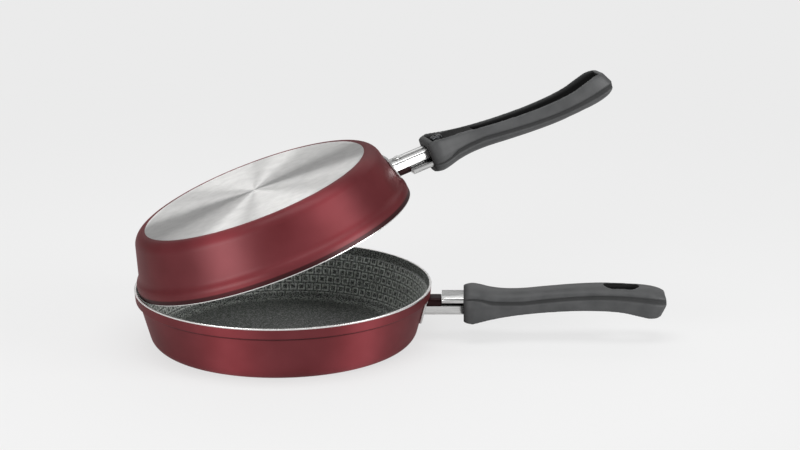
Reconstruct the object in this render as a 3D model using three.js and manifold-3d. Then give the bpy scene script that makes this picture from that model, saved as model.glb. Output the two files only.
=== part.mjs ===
// Double omelette pan: two shallow frying pans that nest rim in rim, the upper one turned over
// and tipped open at the side away from the handles.
// Millimetres, +Z up. Origin: middle of the lower pan's base. +X: towards the lower handle.
import * as THREE from 'three';
import { mergeVertices } from 'three/addons/utils/BufferGeometryUtils.js';
import Module from 'manifold-3d';

const wasm = await Module();
wasm.setup();

// Fits
const FIT = 0.3; // between pieces that touch
const OVERRUN = 3; // how far a cut runs past what it cuts
const NEST_CLEARANCE = 0.7; // upper rim inside the lower pan's band

// Pans
const LOWER_RIM_RADIUS = 104;
const PAN_HEIGHT = 40;
const WALL = 1.7;
const FLOOR = 2.8;
const WALL_LEAN = THREE.MathUtils.degToRad(15.5);
const BAND_HEIGHT = 7.6; // rim down to the step
const BAND_FLARE = 0.7; // how much wider the band is at the rim
const STEP_WIDTH = 2.7;
const STEP_DROP = 1.2;
const CORNER_RADIUS = 10;
const TURNED_DEPTH = 0.3; // metal turned off the base to leave it flat and bare

// Pose of the upper pan
const OPEN_ANGLE = THREE.MathUtils.degToRad(19.4);
const TIP_TURN = THREE.MathUtils.degToRad(4); // tipping direction behind the lower handle
const HANDLE_TURN = THREE.MathUtils.degToRad(12.4); // upper handle behind the tipping direction
const AXIS_OUTSET = 4.3; // tipping axis outside the lower rim
const AXIS_DROP = 3.6; // tipping axis below the lower rim

// Bracket: a channel rail welded under a lug, with a cover strip above it
const STEEL = 1.5;
const COVER_DROP = 7.4; // rim plane down to the cover strip
const COVER_WIDTH = 20.5;
const COVER_HEIGHT = 4.1;
const RAIL_GAP = 2.8; // between cover strip and rail
const RAIL_WIDTH = 17;
const RAIL_HEIGHT = 6.5;
const BRACKET_REACH = 27.3; // pan wall to grip
const COVER_SETBACK = 12; // pan wall to cover strip
const SHOULDER_LENGTH = 13; // how far the bracket's full section goes into the grip
const TONGUE_LENGTH = 31; // how far its flat tongues go
const TONGUE_WIDTH = 12;
const FLANGE_WIDTH = 30;
const FLANGE_HEIGHT = 14.6;
const LUG_DROP = 1.8; // top of the lug below the cover strip
const LUG_ROUNDING = 2.5;
const RIVET_RADIUS = 2.2;
const RIVET_HEAD_RADIUS = 4;
const RIVET_HEAD_HEIGHT = 1.6;
const RIVET_LENGTH = 7;

// Grip, moulded hollow and open underneath
const GRIP_LENGTH = 141.5;
const COLLAR_HALF_WIDTH = 15.5;
const COLLAR_HALF_HEIGHT = 12.6;
const GRIP_WALL = 3;
const GRIP_FRONT_WALL = 4;
const BLOCK_FLOOR = 1.6; // under the bracket
const BLOCK_END_WALL = 4;
const RIB_THICKNESS = 2;
const RIB_RECESS = 5; // rib edges above the open underside
const SLOT_LENGTH = 24;
const SLOT_WIDTH = 9.5;
const SLOT_WALL = 2.4;
const SLOT_END_MARGIN = 19.5; // slot to the end of the tail
const RIB_PLACE_SHARES = [0.38, 0.49, 0.6]; // along the grip

// Clamp screw and what it holds
const SCREW_INSET = 9.5; // behind the front of the grip
const SCREW_RADIUS = 2.4;
const SCREW_HEAD_RADIUS = 4.2;
const SCREW_HEAD_HEIGHT = 1.6;
const WASHER_RADIUS = 4.8;
const WASHER_THICKNESS = 0.6;
const SPACER_ACROSS_CORNERS = 9;
const SPACER_SIDES = 6;

// Facets
const PAN_FACETS = 60;
const ROUND_FACETS = 20;
const CORNER_STEPS = 5;
const SPAN_STEPS = 2;

// Grip outline, chosen by eye: place along the grip, then half width, half height and rise of the
// centreline, as shares of the grip's length, the collar's half width and its half height. The last
// column is how far the underside is set back towards the tail, as a share of the depth below the centreline.
const GRIP_OUTLINE_SHARES = [
  [0, 0.9, 0.88, 0.06, 0],
  [0.015, 0.96, 0.95, 0.06, 0],
  [0.045, 1, 1, 0.06, 0],
  [0.085, 0.94, 0.92, 0.07, 0],
  [0.13, 0.85, 0.81, 0.06, 0],
  [0.2, 0.75, 0.7, 0.08, 0],
  [0.29, 0.7, 0.64, 0.15, 0],
  [0.41, 0.72, 0.63, 0.28, 0],
  [0.55, 0.77, 0.64, 0.39, 0],
  [0.67, 0.81, 0.66, 0.42, 0],
  [0.78, 0.84, 0.69, 0.36, 0],
  [0.88, 0.84, 0.77, 0.22, 0.18],
  [0.94, 0.8, 0.8, 0.11, 0.31],
  [0.98, 0.68, 0.72, 0.04, 0.4],
  [1, 0.45, 0.47, 0.01, 0.44],
];
// Half of the grip's section, from the crown down to the open underside: across and up, as shares of
// the half width and half height. A groove runs along the side under the crown.
const GRIP_SECTION_SHARES = [
  [0, 1], [0.3, 0.97], [0.55, 0.88], [0.75, 0.73], [0.88, 0.57], [0.93, 0.46], [0.88, 0.36],
  [0.88, 0.28], [0.96, 0.15], [1, -0.05], [1, -0.5], [0.96, -0.88], [0.88, -1],
];
const CAVITY_SECTION_SHARES = [[0, 1], [0.5, 0.92], [0.85, 0.68], [1, 0.3], [1, -1]];

const STEEL_FINISH = { color: 0xc9cacc, roughness: 0.2, metalness: 1 };
const LACQUER_FINISH = { color: 0x6d2228, roughness: 0.35, metalness: 0.4 };
const BAKELITE_FINISH = { color: 0x2c2d2f, roughness: 0.5, metalness: 0 };

const ALONG_X = new THREE.Matrix4().makeBasis(
  new THREE.Vector3(0, 1, 0), new THREE.Vector3(0, 0, 1), new THREE.Vector3(1, 0, 0));

/** Closed solid of a geometry, its shared corners merged and its collapsed triangles left out. */
function solid(geometry) {
  geometry.deleteAttribute('normal');
  geometry.deleteAttribute('uv');
  const merged = mergeVertices(geometry);
  const corners = Array.from(merged.index.array);
  const triangles = [];
  for (let i = 0; i < corners.length; i += 3) {
    const [a, b, c] = corners.slice(i, i + 3);
    if (a !== b && b !== c && c !== a) triangles.push(a, b, c);
  }
  return new wasm.Manifold(new wasm.Mesh({
    numProp: 3,
    vertProperties: new Float32Array(merged.attributes.position.array),
    triVerts: new Uint32Array(triangles),
  }));
}

/** Named mesh of a solid. */
function piece(name, body, finish) {
  const mesh = body.getMesh();
  const geometry = new THREE.BufferGeometry();
  geometry.setAttribute('position', new THREE.BufferAttribute(mesh.vertProperties, 3));
  geometry.setIndex(new THREE.BufferAttribute(mesh.triVerts, 1));
  geometry.computeVertexNormals();
  const result = new THREE.Mesh(geometry, new THREE.MeshStandardMaterial(finish));
  result.name = name;
  return result;
}

/** Solid turned about the Z axis from a profile of [radius, height] points. */
function turned(profile, facets) {
  const points = profile.map(([radius, height]) => new THREE.Vector2(radius, height));
  return solid(new THREE.LatheGeometry(points, facets).rotateX(Math.PI / 2));
}

/** Upright turned solid, moved to a place on the X axis. */
function turnedAt(profile, x) {
  const points = profile.map(([radius, height]) => new THREE.Vector2(radius, height));
  return solid(new THREE.LatheGeometry(points, ROUND_FACETS).rotateX(Math.PI / 2).translate(x, 0, 0));
}

/** Shape of a list of corners. */
function outline(corners) {
  return new THREE.Shape(corners.map(([x, y]) => new THREE.Vector2(x, y)));
}

/** A section in Y and Z, drawn along X. */
function barAlongX(section, from, to) {
  const options = { depth: to - from, bevelEnabled: false, curveSegments: CORNER_STEPS };
  return solid(new THREE.ExtrudeGeometry(section, options).applyMatrix4(ALONG_X).translate(from, 0, 0));
}

/** A plan in X and Y, drawn upwards. */
function prism(plan, bottom, top) {
  const options = { depth: top - bottom, bevelEnabled: false, curveSegments: CORNER_STEPS };
  return solid(new THREE.ExtrudeGeometry(plan, options).translate(0, 0, bottom));
}

/** Rectangle in Y and Z, centred on Y = 0. */
function band(width, bottom, top) {
  return outline([[-width / 2, bottom], [width / 2, bottom], [width / 2, top], [-width / 2, top]]);
}

/** Points of an arc, from one angle to the other. */
function arc(centreX, centreY, radius, from, to) {
  const points = [];
  for (let i = 0; i <= CORNER_STEPS; i += 1) {
    const angle = from + (to - from) * i / CORNER_STEPS;
    points.push([centreX + radius * Math.cos(angle), centreY + radius * Math.sin(angle)]);
  }
  return points;
}

/** Sizes that follow from a pan's rim radius: its outer and inner wall, step and ledge. */
function panSizes(rimRadius) {
  const stepTop = PAN_HEIGHT - BAND_HEIGHT;
  const stepBottom = stepTop - STEP_DROP;
  const bandRadius = rimRadius - BAND_FLARE;
  const wallTopRadius = bandRadius - STEP_WIDTH;
  const outerRadiusAt = (z) => wallTopRadius - (stepBottom - z) * Math.tan(WALL_LEAN);
  const innerRadiusAt = (z) => outerRadiusAt(z) - WALL / Math.cos(WALL_LEAN);
  return {
    rimRadius, stepTop, stepBottom, bandRadius, outerRadiusAt, innerRadiusAt,
    ledge: stepTop + WALL, bandInnerRadius: bandRadius - WALL,
  };
}

/** Pan pressed from sheet: flat turned base, round corner, leaning wall, step and upright band. */
function panBody(name, sizes) {
  const outerZ = CORNER_RADIUS - TURNED_DEPTH;
  const outerX = sizes.outerRadiusAt(outerZ) - CORNER_RADIUS / Math.cos(WALL_LEAN);
  const baseAngle = -Math.asin((CORNER_RADIUS - TURNED_DEPTH) / CORNER_RADIUS);
  const innerRadius = CORNER_RADIUS - WALL;
  const innerZ = FLOOR + innerRadius;
  const innerX = sizes.innerRadiusAt(innerZ) - innerRadius / Math.cos(WALL_LEAN);
  const profile = [
    [0, 0],
    ...arc(outerX, outerZ, CORNER_RADIUS, baseAngle, -WALL_LEAN),
    [sizes.outerRadiusAt(sizes.stepBottom), sizes.stepBottom],
    [sizes.bandRadius, sizes.stepTop],
    [sizes.rimRadius, PAN_HEIGHT],
    [sizes.rimRadius - WALL, PAN_HEIGHT],
    [sizes.bandInnerRadius, sizes.ledge],
    [sizes.innerRadiusAt(sizes.ledge), sizes.ledge],
    ...arc(innerX, innerZ, innerRadius, -WALL_LEAN, -Math.PI / 2),
    [0, FLOOR],
  ];
  return piece(name, turned(profile, PAN_FACETS), LACQUER_FINISH);
}

/** Heights of the bracket's faces in the pan's own frame. */
function bracketHeights() {
  const coverTop = PAN_HEIGHT - COVER_DROP;
  const coverBottom = coverTop - COVER_HEIGHT;
  const railTop = coverBottom - RAIL_GAP;
  const railBottom = railTop - RAIL_HEIGHT;
  return { coverTop, coverBottom, railTop, railBottom, webTop: railBottom + STEEL };
}

/** Solid cone that follows the outside of the pan's wall at a distance, past the bracket's heights. */
function wallCone(sizes, distance) {
  const offset = distance / Math.cos(WALL_LEAN);
  const top = sizes.stepBottom;
  return turned([
    [0, 0], [sizes.outerRadiusAt(0) + offset, 0], [sizes.outerRadiusAt(top) + offset, top], [0, top],
  ], PAN_FACETS);
}

/** Channel rail, open upwards, with a flange that lies against the pan's wall. */
function rail(name, sizes, places) {
  const { coverTop, railTop, railBottom, webTop } = bracketHeights();
  const half = RAIL_WIDTH / 2;
  const inside = half - STEEL;
  const section = outline([
    [-half, railBottom], [half, railBottom], [half, railTop], [inside, railTop],
    [inside, webTop], [-inside, webTop], [-inside, railTop], [-half, railTop],
  ]);
  const middle = (railTop + railBottom) / 2;
  const flangeBand = band(FLANGE_WIDTH, middle - FLANGE_HEIGHT / 2, middle + FLANGE_HEIGHT / 2);
  const against = wallCone(sizes, FIT);
  const startX = places.wallX - FLANGE_WIDTH;
  const flange = barAlongX(flangeBand, startX, places.coverStart).intersect(wallCone(sizes, FIT + STEEL));
  const notch = barAlongX(band(inside * 2, webTop, coverTop), startX, places.gripFront);
  const holes = turnedAt([
    [0, railBottom - OVERRUN], [SCREW_RADIUS + FIT, railBottom - OVERRUN],
    [SCREW_RADIUS + FIT, webTop + OVERRUN], [0, webTop + OVERRUN],
  ], places.screwX).add(turnedAt([
    [0, railBottom - OVERRUN], [RIVET_RADIUS + FIT, railBottom - OVERRUN],
    [RIVET_RADIUS + FIT, webTop + OVERRUN], [0, webTop + OVERRUN],
  ], places.rivetX));
  const body = barAlongX(section, startX, places.shoulderEnd)
    .add(barAlongX(band(TONGUE_WIDTH, railBottom, webTop), startX, places.tongueEnd))
    .add(flange.subtract(notch));
  return piece(name, body.subtract(against).subtract(holes), STEEL_FINISH);
}

/** Cover strip: shallow channel, open downwards, that runs into the grip above the rail. */
function coverStrip(name, places) {
  const { coverTop, coverBottom } = bracketHeights();
  const half = COVER_WIDTH / 2;
  const inside = half - STEEL;
  const section = outline([
    [-half, coverBottom], [-inside, coverBottom], [-inside, coverTop - STEEL], [inside, coverTop - STEEL],
    [inside, coverBottom], [half, coverBottom], [half, coverTop], [-half, coverTop],
  ]);
  const tongue = band(TONGUE_WIDTH, coverTop - STEEL, coverTop);
  const body = barAlongX(section, places.coverStart, places.shoulderEnd)
    .add(barAlongX(tongue, places.coverStart, places.tongueEnd));
  return piece(name, body, STEEL_FINISH);
}

/** Lug welded to the pan's wall: it stands in the rail and the rivet goes up into it. */
function lug(name, sizes, places) {
  const { coverTop, webTop } = bracketHeights();
  const half = RAIL_WIDTH / 2 - STEEL - FIT;
  const bottom = webTop + FIT;
  const top = coverTop - LUG_DROP;
  const section = new THREE.Shape();
  section.moveTo(-half, bottom);
  section.lineTo(half, bottom);
  section.lineTo(half, top - LUG_ROUNDING);
  section.absarc(half - LUG_ROUNDING, top - LUG_ROUNDING, LUG_ROUNDING, 0, Math.PI / 2, false);
  section.absarc(LUG_ROUNDING - half, top - LUG_ROUNDING, LUG_ROUNDING, Math.PI / 2, Math.PI, false);
  const block = barAlongX(section, places.wallX - FLANGE_WIDTH, places.coverStart - FIT);
  const hole = turnedAt([
    [0, bottom - OVERRUN], [RIVET_RADIUS + FIT, bottom - OVERRUN],
    [RIVET_RADIUS + FIT, places.rivetTop + FIT], [0, places.rivetTop + FIT],
  ], places.rivetX);
  return piece(name, block.subtract(wallCone(sizes, FIT)).subtract(hole), LACQUER_FINISH);
}

/** Round-headed rivet, put in from below. */
function rivet(name, places) {
  const { railBottom } = bracketHeights();
  const under = railBottom - FIT;
  const headCorner = RIVET_HEAD_HEIGHT / 2;
  return piece(name, turnedAt([
    [0, under - RIVET_HEAD_HEIGHT], [RIVET_HEAD_RADIUS - headCorner, under - RIVET_HEAD_HEIGHT],
    [RIVET_HEAD_RADIUS, under - headCorner], [RIVET_HEAD_RADIUS, under],
    [RIVET_RADIUS, under], [RIVET_RADIUS, places.rivetTop], [0, places.rivetTop],
  ], places.rivetX), STEEL_FINISH);
}

/** Value of a column of the grip's outline at a place along it, on a smooth curve through its rows. */
function outlineValue(place, column) {
  const rows = GRIP_OUTLINE_SHARES;
  const last = rows.length - 1;
  const slope = (i) => {
    const before = rows[Math.max(i - 1, 0)];
    const after = rows[Math.min(i + 1, last)];
    return (after[column] - before[column]) / (after[0] - before[0]);
  };
  let i = 0;
  while (i < last - 1 && place > rows[i + 1][0]) i += 1;
  const span = rows[i + 1][0] - rows[i][0];
  const t = (place - rows[i][0]) / span;
  const stay = rows[i][column] * (1 + 2 * t) * (1 - t) ** 2 + rows[i + 1][column] * t ** 2 * (3 - 2 * t);
  return stay + span * (slope(i) * t * (1 - t) ** 2 - slope(i + 1) * t ** 2 * (1 - t));
}

/** Ring of points of a section at a place, drawn in by a wall and reaching lower by a depth. */
function gripRing(section, place, x, centreHeight, wall, depth) {
  const halfWidth = COLLAR_HALF_WIDTH * outlineValue(place, 1) - wall;
  const halfHeight = COLLAR_HALF_HEIGHT * outlineValue(place, 2);
  const middle = centreHeight + COLLAR_HALF_HEIGHT * outlineValue(place, 3);
  const setBack = outlineValue(place, 4);
  const side = section.map(([across, up]) => {
    const height = up * (up > 0 ? halfHeight - wall : halfHeight + depth);
    return [x + setBack * Math.min(height, 0), halfWidth * across, middle + height];
  });
  const otherSide = side.slice(1).map(([along, across, height]) => [along, -across, height]);
  return [...side.reverse(), ...otherSide];
}

/** Solid skinned over rings of points that follow each other along X. */
function skinned(rings) {
  const count = rings[0].length;
  const middles = [rings[0], rings[rings.length - 1]].map((ring) => [0, 1, 2].map(
    (axis) => ring.reduce((sum, point) => sum + point[axis], 0) / count));
  const points = [...rings.flat(), ...middles];
  const startMiddle = points.length - 2;
  const lastRing = (rings.length - 1) * count;
  const triangles = [];
  for (let j = 0; j < count; j += 1) {
    const next = (j + 1) % count;
    for (let i = 0; i < rings.length - 1; i += 1) {
      const here = i * count;
      const there = here + count;
      triangles.push(here + j, here + next, there + j, here + next, there + next, there + j);
    }
    triangles.push(startMiddle, next, j, startMiddle + 1, lastRing + j, lastRing + next);
  }
  const geometry = new THREE.BufferGeometry();
  geometry.setAttribute('position', new THREE.Float32BufferAttribute(points.flat(), 3));
  geometry.setIndex(triangles);
  return solid(geometry);
}

/** Places along the grip between two shares: every row of its outline there, and steps between rows. */
function gripPlaces(from, to) {
  const rows = GRIP_OUTLINE_SHARES.map((row) => row[0]).filter((place) => place > from && place < to);
  const stops = [from, ...rows, to];
  const places = [from];
  for (let i = 1; i < stops.length; i += 1) {
    for (let j = 1; j <= SPAN_STEPS; j += 1) {
      places.push(stops[i - 1] + (stops[i] - stops[i - 1]) * j / SPAN_STEPS);
    }
  }
  return places;
}

/** Plan of the hanging slot, widened by a wall. */
function slotPlan(centreX, wall) {
  const radius = SLOT_WIDTH / 2 + wall;
  const reach = (SLOT_LENGTH - SLOT_WIDTH) / 2;
  const plan = new THREE.Shape();
  plan.absarc(centreX + reach, 0, radius, -Math.PI / 2, Math.PI / 2, false);
  plan.absarc(centreX - reach, 0, radius, Math.PI / 2, Math.PI * 3 / 2, false);
  return plan;
}

/** Grip: a moulded shell, open underneath, with a flared collar that takes the bracket. */
function grip(name, places) {
  const { coverTop, coverBottom, railTop, railBottom } = bracketHeights();
  const centre = (coverTop + railBottom) / 2;
  const ringAt = (section, wall, depth) => (place) => gripRing(
    section, place, places.gripFront + GRIP_LENGTH * place, centre, wall, depth);
  const outer = skinned(gripPlaces(0, 1).map(ringAt(GRIP_SECTION_SHARES, 0, 0)));
  const cavity = skinned(gripPlaces(GRIP_FRONT_WALL / GRIP_LENGTH, 1 - GRIP_WALL / GRIP_LENGTH)
    .map(ringAt(CAVITY_SECTION_SHARES, GRIP_WALL, COLLAR_HALF_HEIGHT)));
  const low = centre - 2 * COLLAR_HALF_HEIGHT;
  const high = centre + 2 * COLLAR_HALF_HEIGHT;
  const blockBottom = railBottom - FIT - BLOCK_FLOOR;
  const blockEnd = places.tongueEnd + FIT + BLOCK_END_WALL;
  const wide = 2 * COLLAR_HALF_WIDTH;
  let inside = barAlongX(band(wide, blockBottom, high), places.gripFront, blockEnd);
  for (const share of RIB_PLACE_SHARES) {
    const x = places.gripFront + GRIP_LENGTH * share;
    const edge = centre - COLLAR_HALF_HEIGHT * (outlineValue(share, 2) - outlineValue(share, 3)) + RIB_RECESS;
    inside = inside.add(barAlongX(band(wide, edge, high), x - RIB_THICKNESS / 2, x + RIB_THICKNESS / 2));
  }
  const slotX = places.gripFront + GRIP_LENGTH - SLOT_END_MARGIN - SLOT_LENGTH / 2;
  inside = inside.add(prism(slotPlan(slotX, SLOT_WALL), low, high));
  const start = places.gripFront - OVERRUN;
  const shoulder = places.shoulderEnd + FIT;
  const socket = barAlongX(band(COVER_WIDTH + 2 * FIT, coverBottom - FIT, coverTop + FIT), start, shoulder)
    .add(barAlongX(band(RAIL_WIDTH + 2 * FIT, railBottom - FIT, coverTop), start, shoulder))
    .add(barAlongX(band(TONGUE_WIDTH + 2 * FIT, railBottom - FIT, coverTop + FIT), start,
      places.tongueEnd + FIT));
  const screwHole = turnedAt([
    [0, low], [SCREW_RADIUS + FIT, low], [SCREW_RADIUS + FIT, railTop], [0, railTop],
  ], places.screwX);
  const slot = prism(slotPlan(slotX, 0), low, high);
  const body = outer.subtract(cavity).add(inside.intersect(outer));
  return piece(name, body.subtract(socket).subtract(screwHole).subtract(slot), BAKELITE_FINISH);
}

/** Heights of the screw's parts, from the grip's block downwards. */
function screwHeights() {
  const { railBottom } = bracketHeights();
  const washerTop = railBottom - FIT - BLOCK_FLOOR - FIT;
  const headTop = washerTop - WASHER_THICKNESS - FIT;
  return { washerTop, headTop };
}

/** Screw that goes up through the grip and the rail into the spacer. */
function screw(name, places) {
  const { headTop } = screwHeights();
  const { coverTop } = bracketHeights();
  const headCorner = SCREW_HEAD_HEIGHT / 3;
  const tip = coverTop - STEEL - FIT;
  return piece(name, turnedAt([
    [0, headTop - SCREW_HEAD_HEIGHT], [SCREW_HEAD_RADIUS - headCorner, headTop - SCREW_HEAD_HEIGHT],
    [SCREW_HEAD_RADIUS, headTop - SCREW_HEAD_HEIGHT + headCorner], [SCREW_HEAD_RADIUS, headTop],
    [SCREW_RADIUS, headTop], [SCREW_RADIUS, tip], [0, tip],
  ], places.screwX), STEEL_FINISH);
}

/** Washer under the screw's head. */
function washer(name, places) {
  const { washerTop } = screwHeights();
  const bottom = washerTop - WASHER_THICKNESS;
  const bore = SCREW_RADIUS + FIT;
  return piece(name, turnedAt([
    [bore, bottom], [WASHER_RADIUS, bottom], [WASHER_RADIUS, washerTop], [bore, washerTop], [bore, bottom],
  ], places.screwX), STEEL_FINISH);
}

/** Six-sided threaded spacer that stands in the rail and holds the cover strip up. */
function spacer(name, places) {
  const { webTop, coverTop } = bracketHeights();
  const bottom = webTop + FIT;
  const top = coverTop - STEEL - FIT;
  const hexagon = new THREE.Shape();
  for (let i = 0; i < SPACER_SIDES; i += 1) {
    const angle = 2 * Math.PI * i / SPACER_SIDES;
    const x = places.screwX + SPACER_ACROSS_CORNERS / 2 * Math.cos(angle);
    const y = SPACER_ACROSS_CORNERS / 2 * Math.sin(angle);
    if (i === 0) hexagon.moveTo(x, y);
    else hexagon.lineTo(x, y);
  }
  const bore = turnedAt([
    [0, bottom - OVERRUN], [SCREW_RADIUS + FIT, bottom - OVERRUN],
    [SCREW_RADIUS + FIT, top + OVERRUN], [0, top + OVERRUN],
  ], places.screwX);
  return piece(name, prism(hexagon, bottom, top).subtract(bore), STEEL_FINISH);
}

/** One pan with its handle along +X, standing on its base. */
function pan(prefix, sizes) {
  const { coverTop, railBottom } = bracketHeights();
  const wallX = sizes.outerRadiusAt((coverTop + railBottom) / 2);
  const gripFront = wallX + BRACKET_REACH;
  const places = {
    wallX,
    gripFront,
    coverStart: wallX + COVER_SETBACK,
    shoulderEnd: gripFront + SHOULDER_LENGTH,
    tongueEnd: gripFront + TONGUE_LENGTH,
    screwX: gripFront + SCREW_INSET,
    rivetX: wallX + COVER_SETBACK / 2,
    rivetTop: railBottom + RIVET_LENGTH,
  };
  return new THREE.Group().add(
    panBody(`${prefix}_pan`, sizes),
    lug(`${prefix}_lug`, sizes, places),
    rail(`${prefix}_rail`, sizes, places),
    rivet(`${prefix}_rivet`, places),
    coverStrip(`${prefix}_cover_strip`, places),
    grip(`${prefix}_grip`, places),
    spacer(`${prefix}_spacer`, places),
    washer(`${prefix}_washer`, places),
    screw(`${prefix}_screw`, places),
  );
}

const lowerSizes = panSizes(LOWER_RIM_RADIUS);
const upperSizes = panSizes(lowerSizes.bandInnerRadius - NEST_CLEARANCE);

const upperPan = pan('upper', upperSizes);
upperPan.rotation.x = Math.PI;

const seated = new THREE.Group().add(upperPan);
seated.rotation.z = HANDLE_TURN;

const tipped = new THREE.Group().add(seated);
tipped.position.set(-(LOWER_RIM_RADIUS + AXIS_OUTSET), 0, PAN_HEIGHT - AXIS_DROP);
tipped.rotation.y = -OPEN_ANGLE;
seated.position.set(0, 0, lowerSizes.ledge + FIT + PAN_HEIGHT).sub(tipped.position);

const leaning = new THREE.Group().add(tipped);
leaning.rotation.z = TIP_TURN;

const group = new THREE.Group().add(pan('lower', lowerSizes), leaning);

export default group;
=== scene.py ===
"""Double omelette pan: two red frying pans that nest rim in rim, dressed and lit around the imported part."""

import logging
import math
from collections.abc import Callable, Iterator, Sequence
from contextlib import contextmanager
from dataclasses import dataclass, field
from enum import Enum

import bmesh
import bpy
import numpy as np
from mathutils import Matrix, Vector


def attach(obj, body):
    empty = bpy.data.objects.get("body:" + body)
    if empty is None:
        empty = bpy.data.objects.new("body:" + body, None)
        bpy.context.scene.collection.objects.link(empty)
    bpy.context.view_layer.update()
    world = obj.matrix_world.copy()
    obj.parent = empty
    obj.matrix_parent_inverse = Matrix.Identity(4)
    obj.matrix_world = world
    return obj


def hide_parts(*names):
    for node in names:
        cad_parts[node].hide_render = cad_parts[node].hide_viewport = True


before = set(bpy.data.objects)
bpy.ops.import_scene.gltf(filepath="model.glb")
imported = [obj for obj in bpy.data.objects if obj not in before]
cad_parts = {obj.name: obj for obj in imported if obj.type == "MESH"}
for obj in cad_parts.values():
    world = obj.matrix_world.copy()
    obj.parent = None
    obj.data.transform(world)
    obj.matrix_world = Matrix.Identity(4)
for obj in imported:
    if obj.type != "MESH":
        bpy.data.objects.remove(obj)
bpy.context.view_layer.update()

Piece = bpy.types.Object
Socket = bpy.types.NodeSocket
Colour = tuple[float, float, float, float]
Point = tuple[float, float]

LOG = logging.getLogger("omelette_pan")
PROFILE = "profile"  # UV map of a pan: distance from the rim, and share of a turn round the axis
MM = 0.001
TURN = 2 * math.pi
NEAR = MM / 10  # how close a corner lies to the place where it is looked for
FINE = MM / 100  # how finely a height or a radius is told from another
SAME = MM / 1000  # corners this close are one
OVERRUN = 3 * MM  # how far a long cut runs past what it cuts
SHORT_OVERRUN = MM


class Body(Enum):
    """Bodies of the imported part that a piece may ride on."""

    LOWER = "lower"
    UPPER = "upper"


class Slot(Enum):
    """Material slots of the record."""

    LACQUER = "lacquer"
    STEEL = "steel"
    ZINC_STEEL = "zinc_steel"
    BAKELITE = "bakelite"


class PanZone(Enum):
    """Finishes of a pan's surface, in the order of its material slots."""

    LACQUER = 0
    BARE_RIM = 1
    TURNED_BASE = 2
    NON_STICK = 3


class Part(Enum):
    """Parts of a mesh, by the names that they have in its cage."""

    VERTICES = "verts"
    EDGES = "edges"
    FACES = "faces"


# Modelling helpers


def deselect_all() -> None:
    """Leave nothing selected."""
    for piece in bpy.context.selected_objects:
        piece.select_set(False)


def make_active(piece: Piece) -> None:
    """Select one object alone and make it active.

    Args:
        piece: Object to select.
    """
    deselect_all()
    piece.select_set(True)
    bpy.context.view_layer.objects.active = piece


@contextmanager
def editing(piece: Piece, mode: str = "VERT") -> Iterator[None]:
    """Work on one mesh in edit mode.

    Args:
        piece: Mesh object to edit.
        mode: Selection mode, VERT, EDGE or FACE.

    Yields:
        Nothing; the object is in edit mode inside the block.
    """
    make_active(piece)
    bpy.ops.object.mode_set(mode="EDIT")
    bpy.ops.mesh.select_mode(type=mode)
    try:
        yield
    finally:
        bpy.ops.object.mode_set(mode="OBJECT")


def pick(piece: Piece, part: Part, rule: Callable[..., bool]) -> None:
    """Select parts of a mesh in edit mode by their place.

    Args:
        piece: Object in edit mode.
        part: Kind of part.
        rule: Test of a vertex's place, of an edge's two ends, or of a face's middle and normal.
    """
    bpy.ops.mesh.select_all(action="DESELECT")
    cage = bmesh.from_edit_mesh(piece.data)
    for item in getattr(cage, part.value):
        if part is Part.FACES:
            spots = [item.calc_center_median(), item.normal]
        else:
            spots = [vertex.co for vertex in item.verts] if part is Part.EDGES else [item.co]
        if rule(*spots):
            item.select_set(True)
    if part is Part.VERTICES:
        cage.select_flush_mode()
    bmesh.update_edit_mesh(piece.data)


def face_outwards() -> None:
    """Turn every face of the mesh in edit mode outwards."""
    bpy.ops.mesh.select_all(action="SELECT")
    bpy.ops.mesh.normals_make_consistent(inside=False)


def added(name: str, **settings: Sequence[float]) -> Piece:
    """Name the primitive that was just added, set it, and put its place in its mesh.

    Args:
        name: Name for the object and its mesh.
        **settings: Its location or scale.

    Returns:
        The new object.
    """
    piece = bpy.context.active_object
    piece.name = name
    piece.data.name = name
    for key, value in settings.items():
        setattr(piece, key, value)
    bpy.ops.object.transform_apply(location=True, rotation=True, scale=True)
    return piece


def apply_modifier(piece: Piece, kind: str, **settings: object) -> None:
    """Add a modifier, set it and apply it.

    Args:
        piece: Object that gets the modifier.
        kind: Modifier type, as Blender names it.
        **settings: Attributes of the modifier.
    """
    make_active(piece)
    bpy.ops.object.modifier_add(type=kind)
    modifier = piece.modifiers[-1]
    for key, value in settings.items():
        setattr(modifier, key, value)
    bpy.ops.object.modifier_apply(modifier=modifier.name)


def block(name: str, low: Sequence[float], high: Sequence[float]) -> Piece:
    """Box between two corners.

    Args:
        name: Name of the object.
        low: Lowest corner.
        high: Highest corner.

    Returns:
        The box.
    """
    deselect_all()
    bpy.ops.mesh.primitive_cube_add(size=1, location=[(a + b) / 2 for a, b in zip(low, high)])
    return added(name, scale=[b - a for a, b in zip(low, high)])


def upright_cylinder(name: str, x: float, radius: float, low: float, high: float, sides: int = 48) -> Piece:
    """Upright cylinder on the X axis.

    Args:
        name: Name of the object.
        x: Place of its axis along X.
        radius: Radius to its corners.
        low: Height of its lower end.
        high: Height of its upper end.
        sides: Number of sides.

    Returns:
        The cylinder.
    """
    deselect_all()
    bpy.ops.mesh.primitive_cylinder_add(
        vertices=sides, radius=radius, depth=high - low, location=(x, 0, (low + high) / 2))
    return added(name)


def combine(piece: Piece, tools: Sequence[Piece], operation: str = "DIFFERENCE") -> None:
    """Cut or join solids one after another and delete the tools.

    Args:
        piece: Solid that is changed.
        tools: Solids that cut it or are joined to it.
        operation: Boolean operation, as Blender names it.
    """
    for tool in tools:
        apply_modifier(piece, "BOOLEAN", object=tool, operation=operation, solver="EXACT")
        bpy.data.objects.remove(tool)


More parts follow.
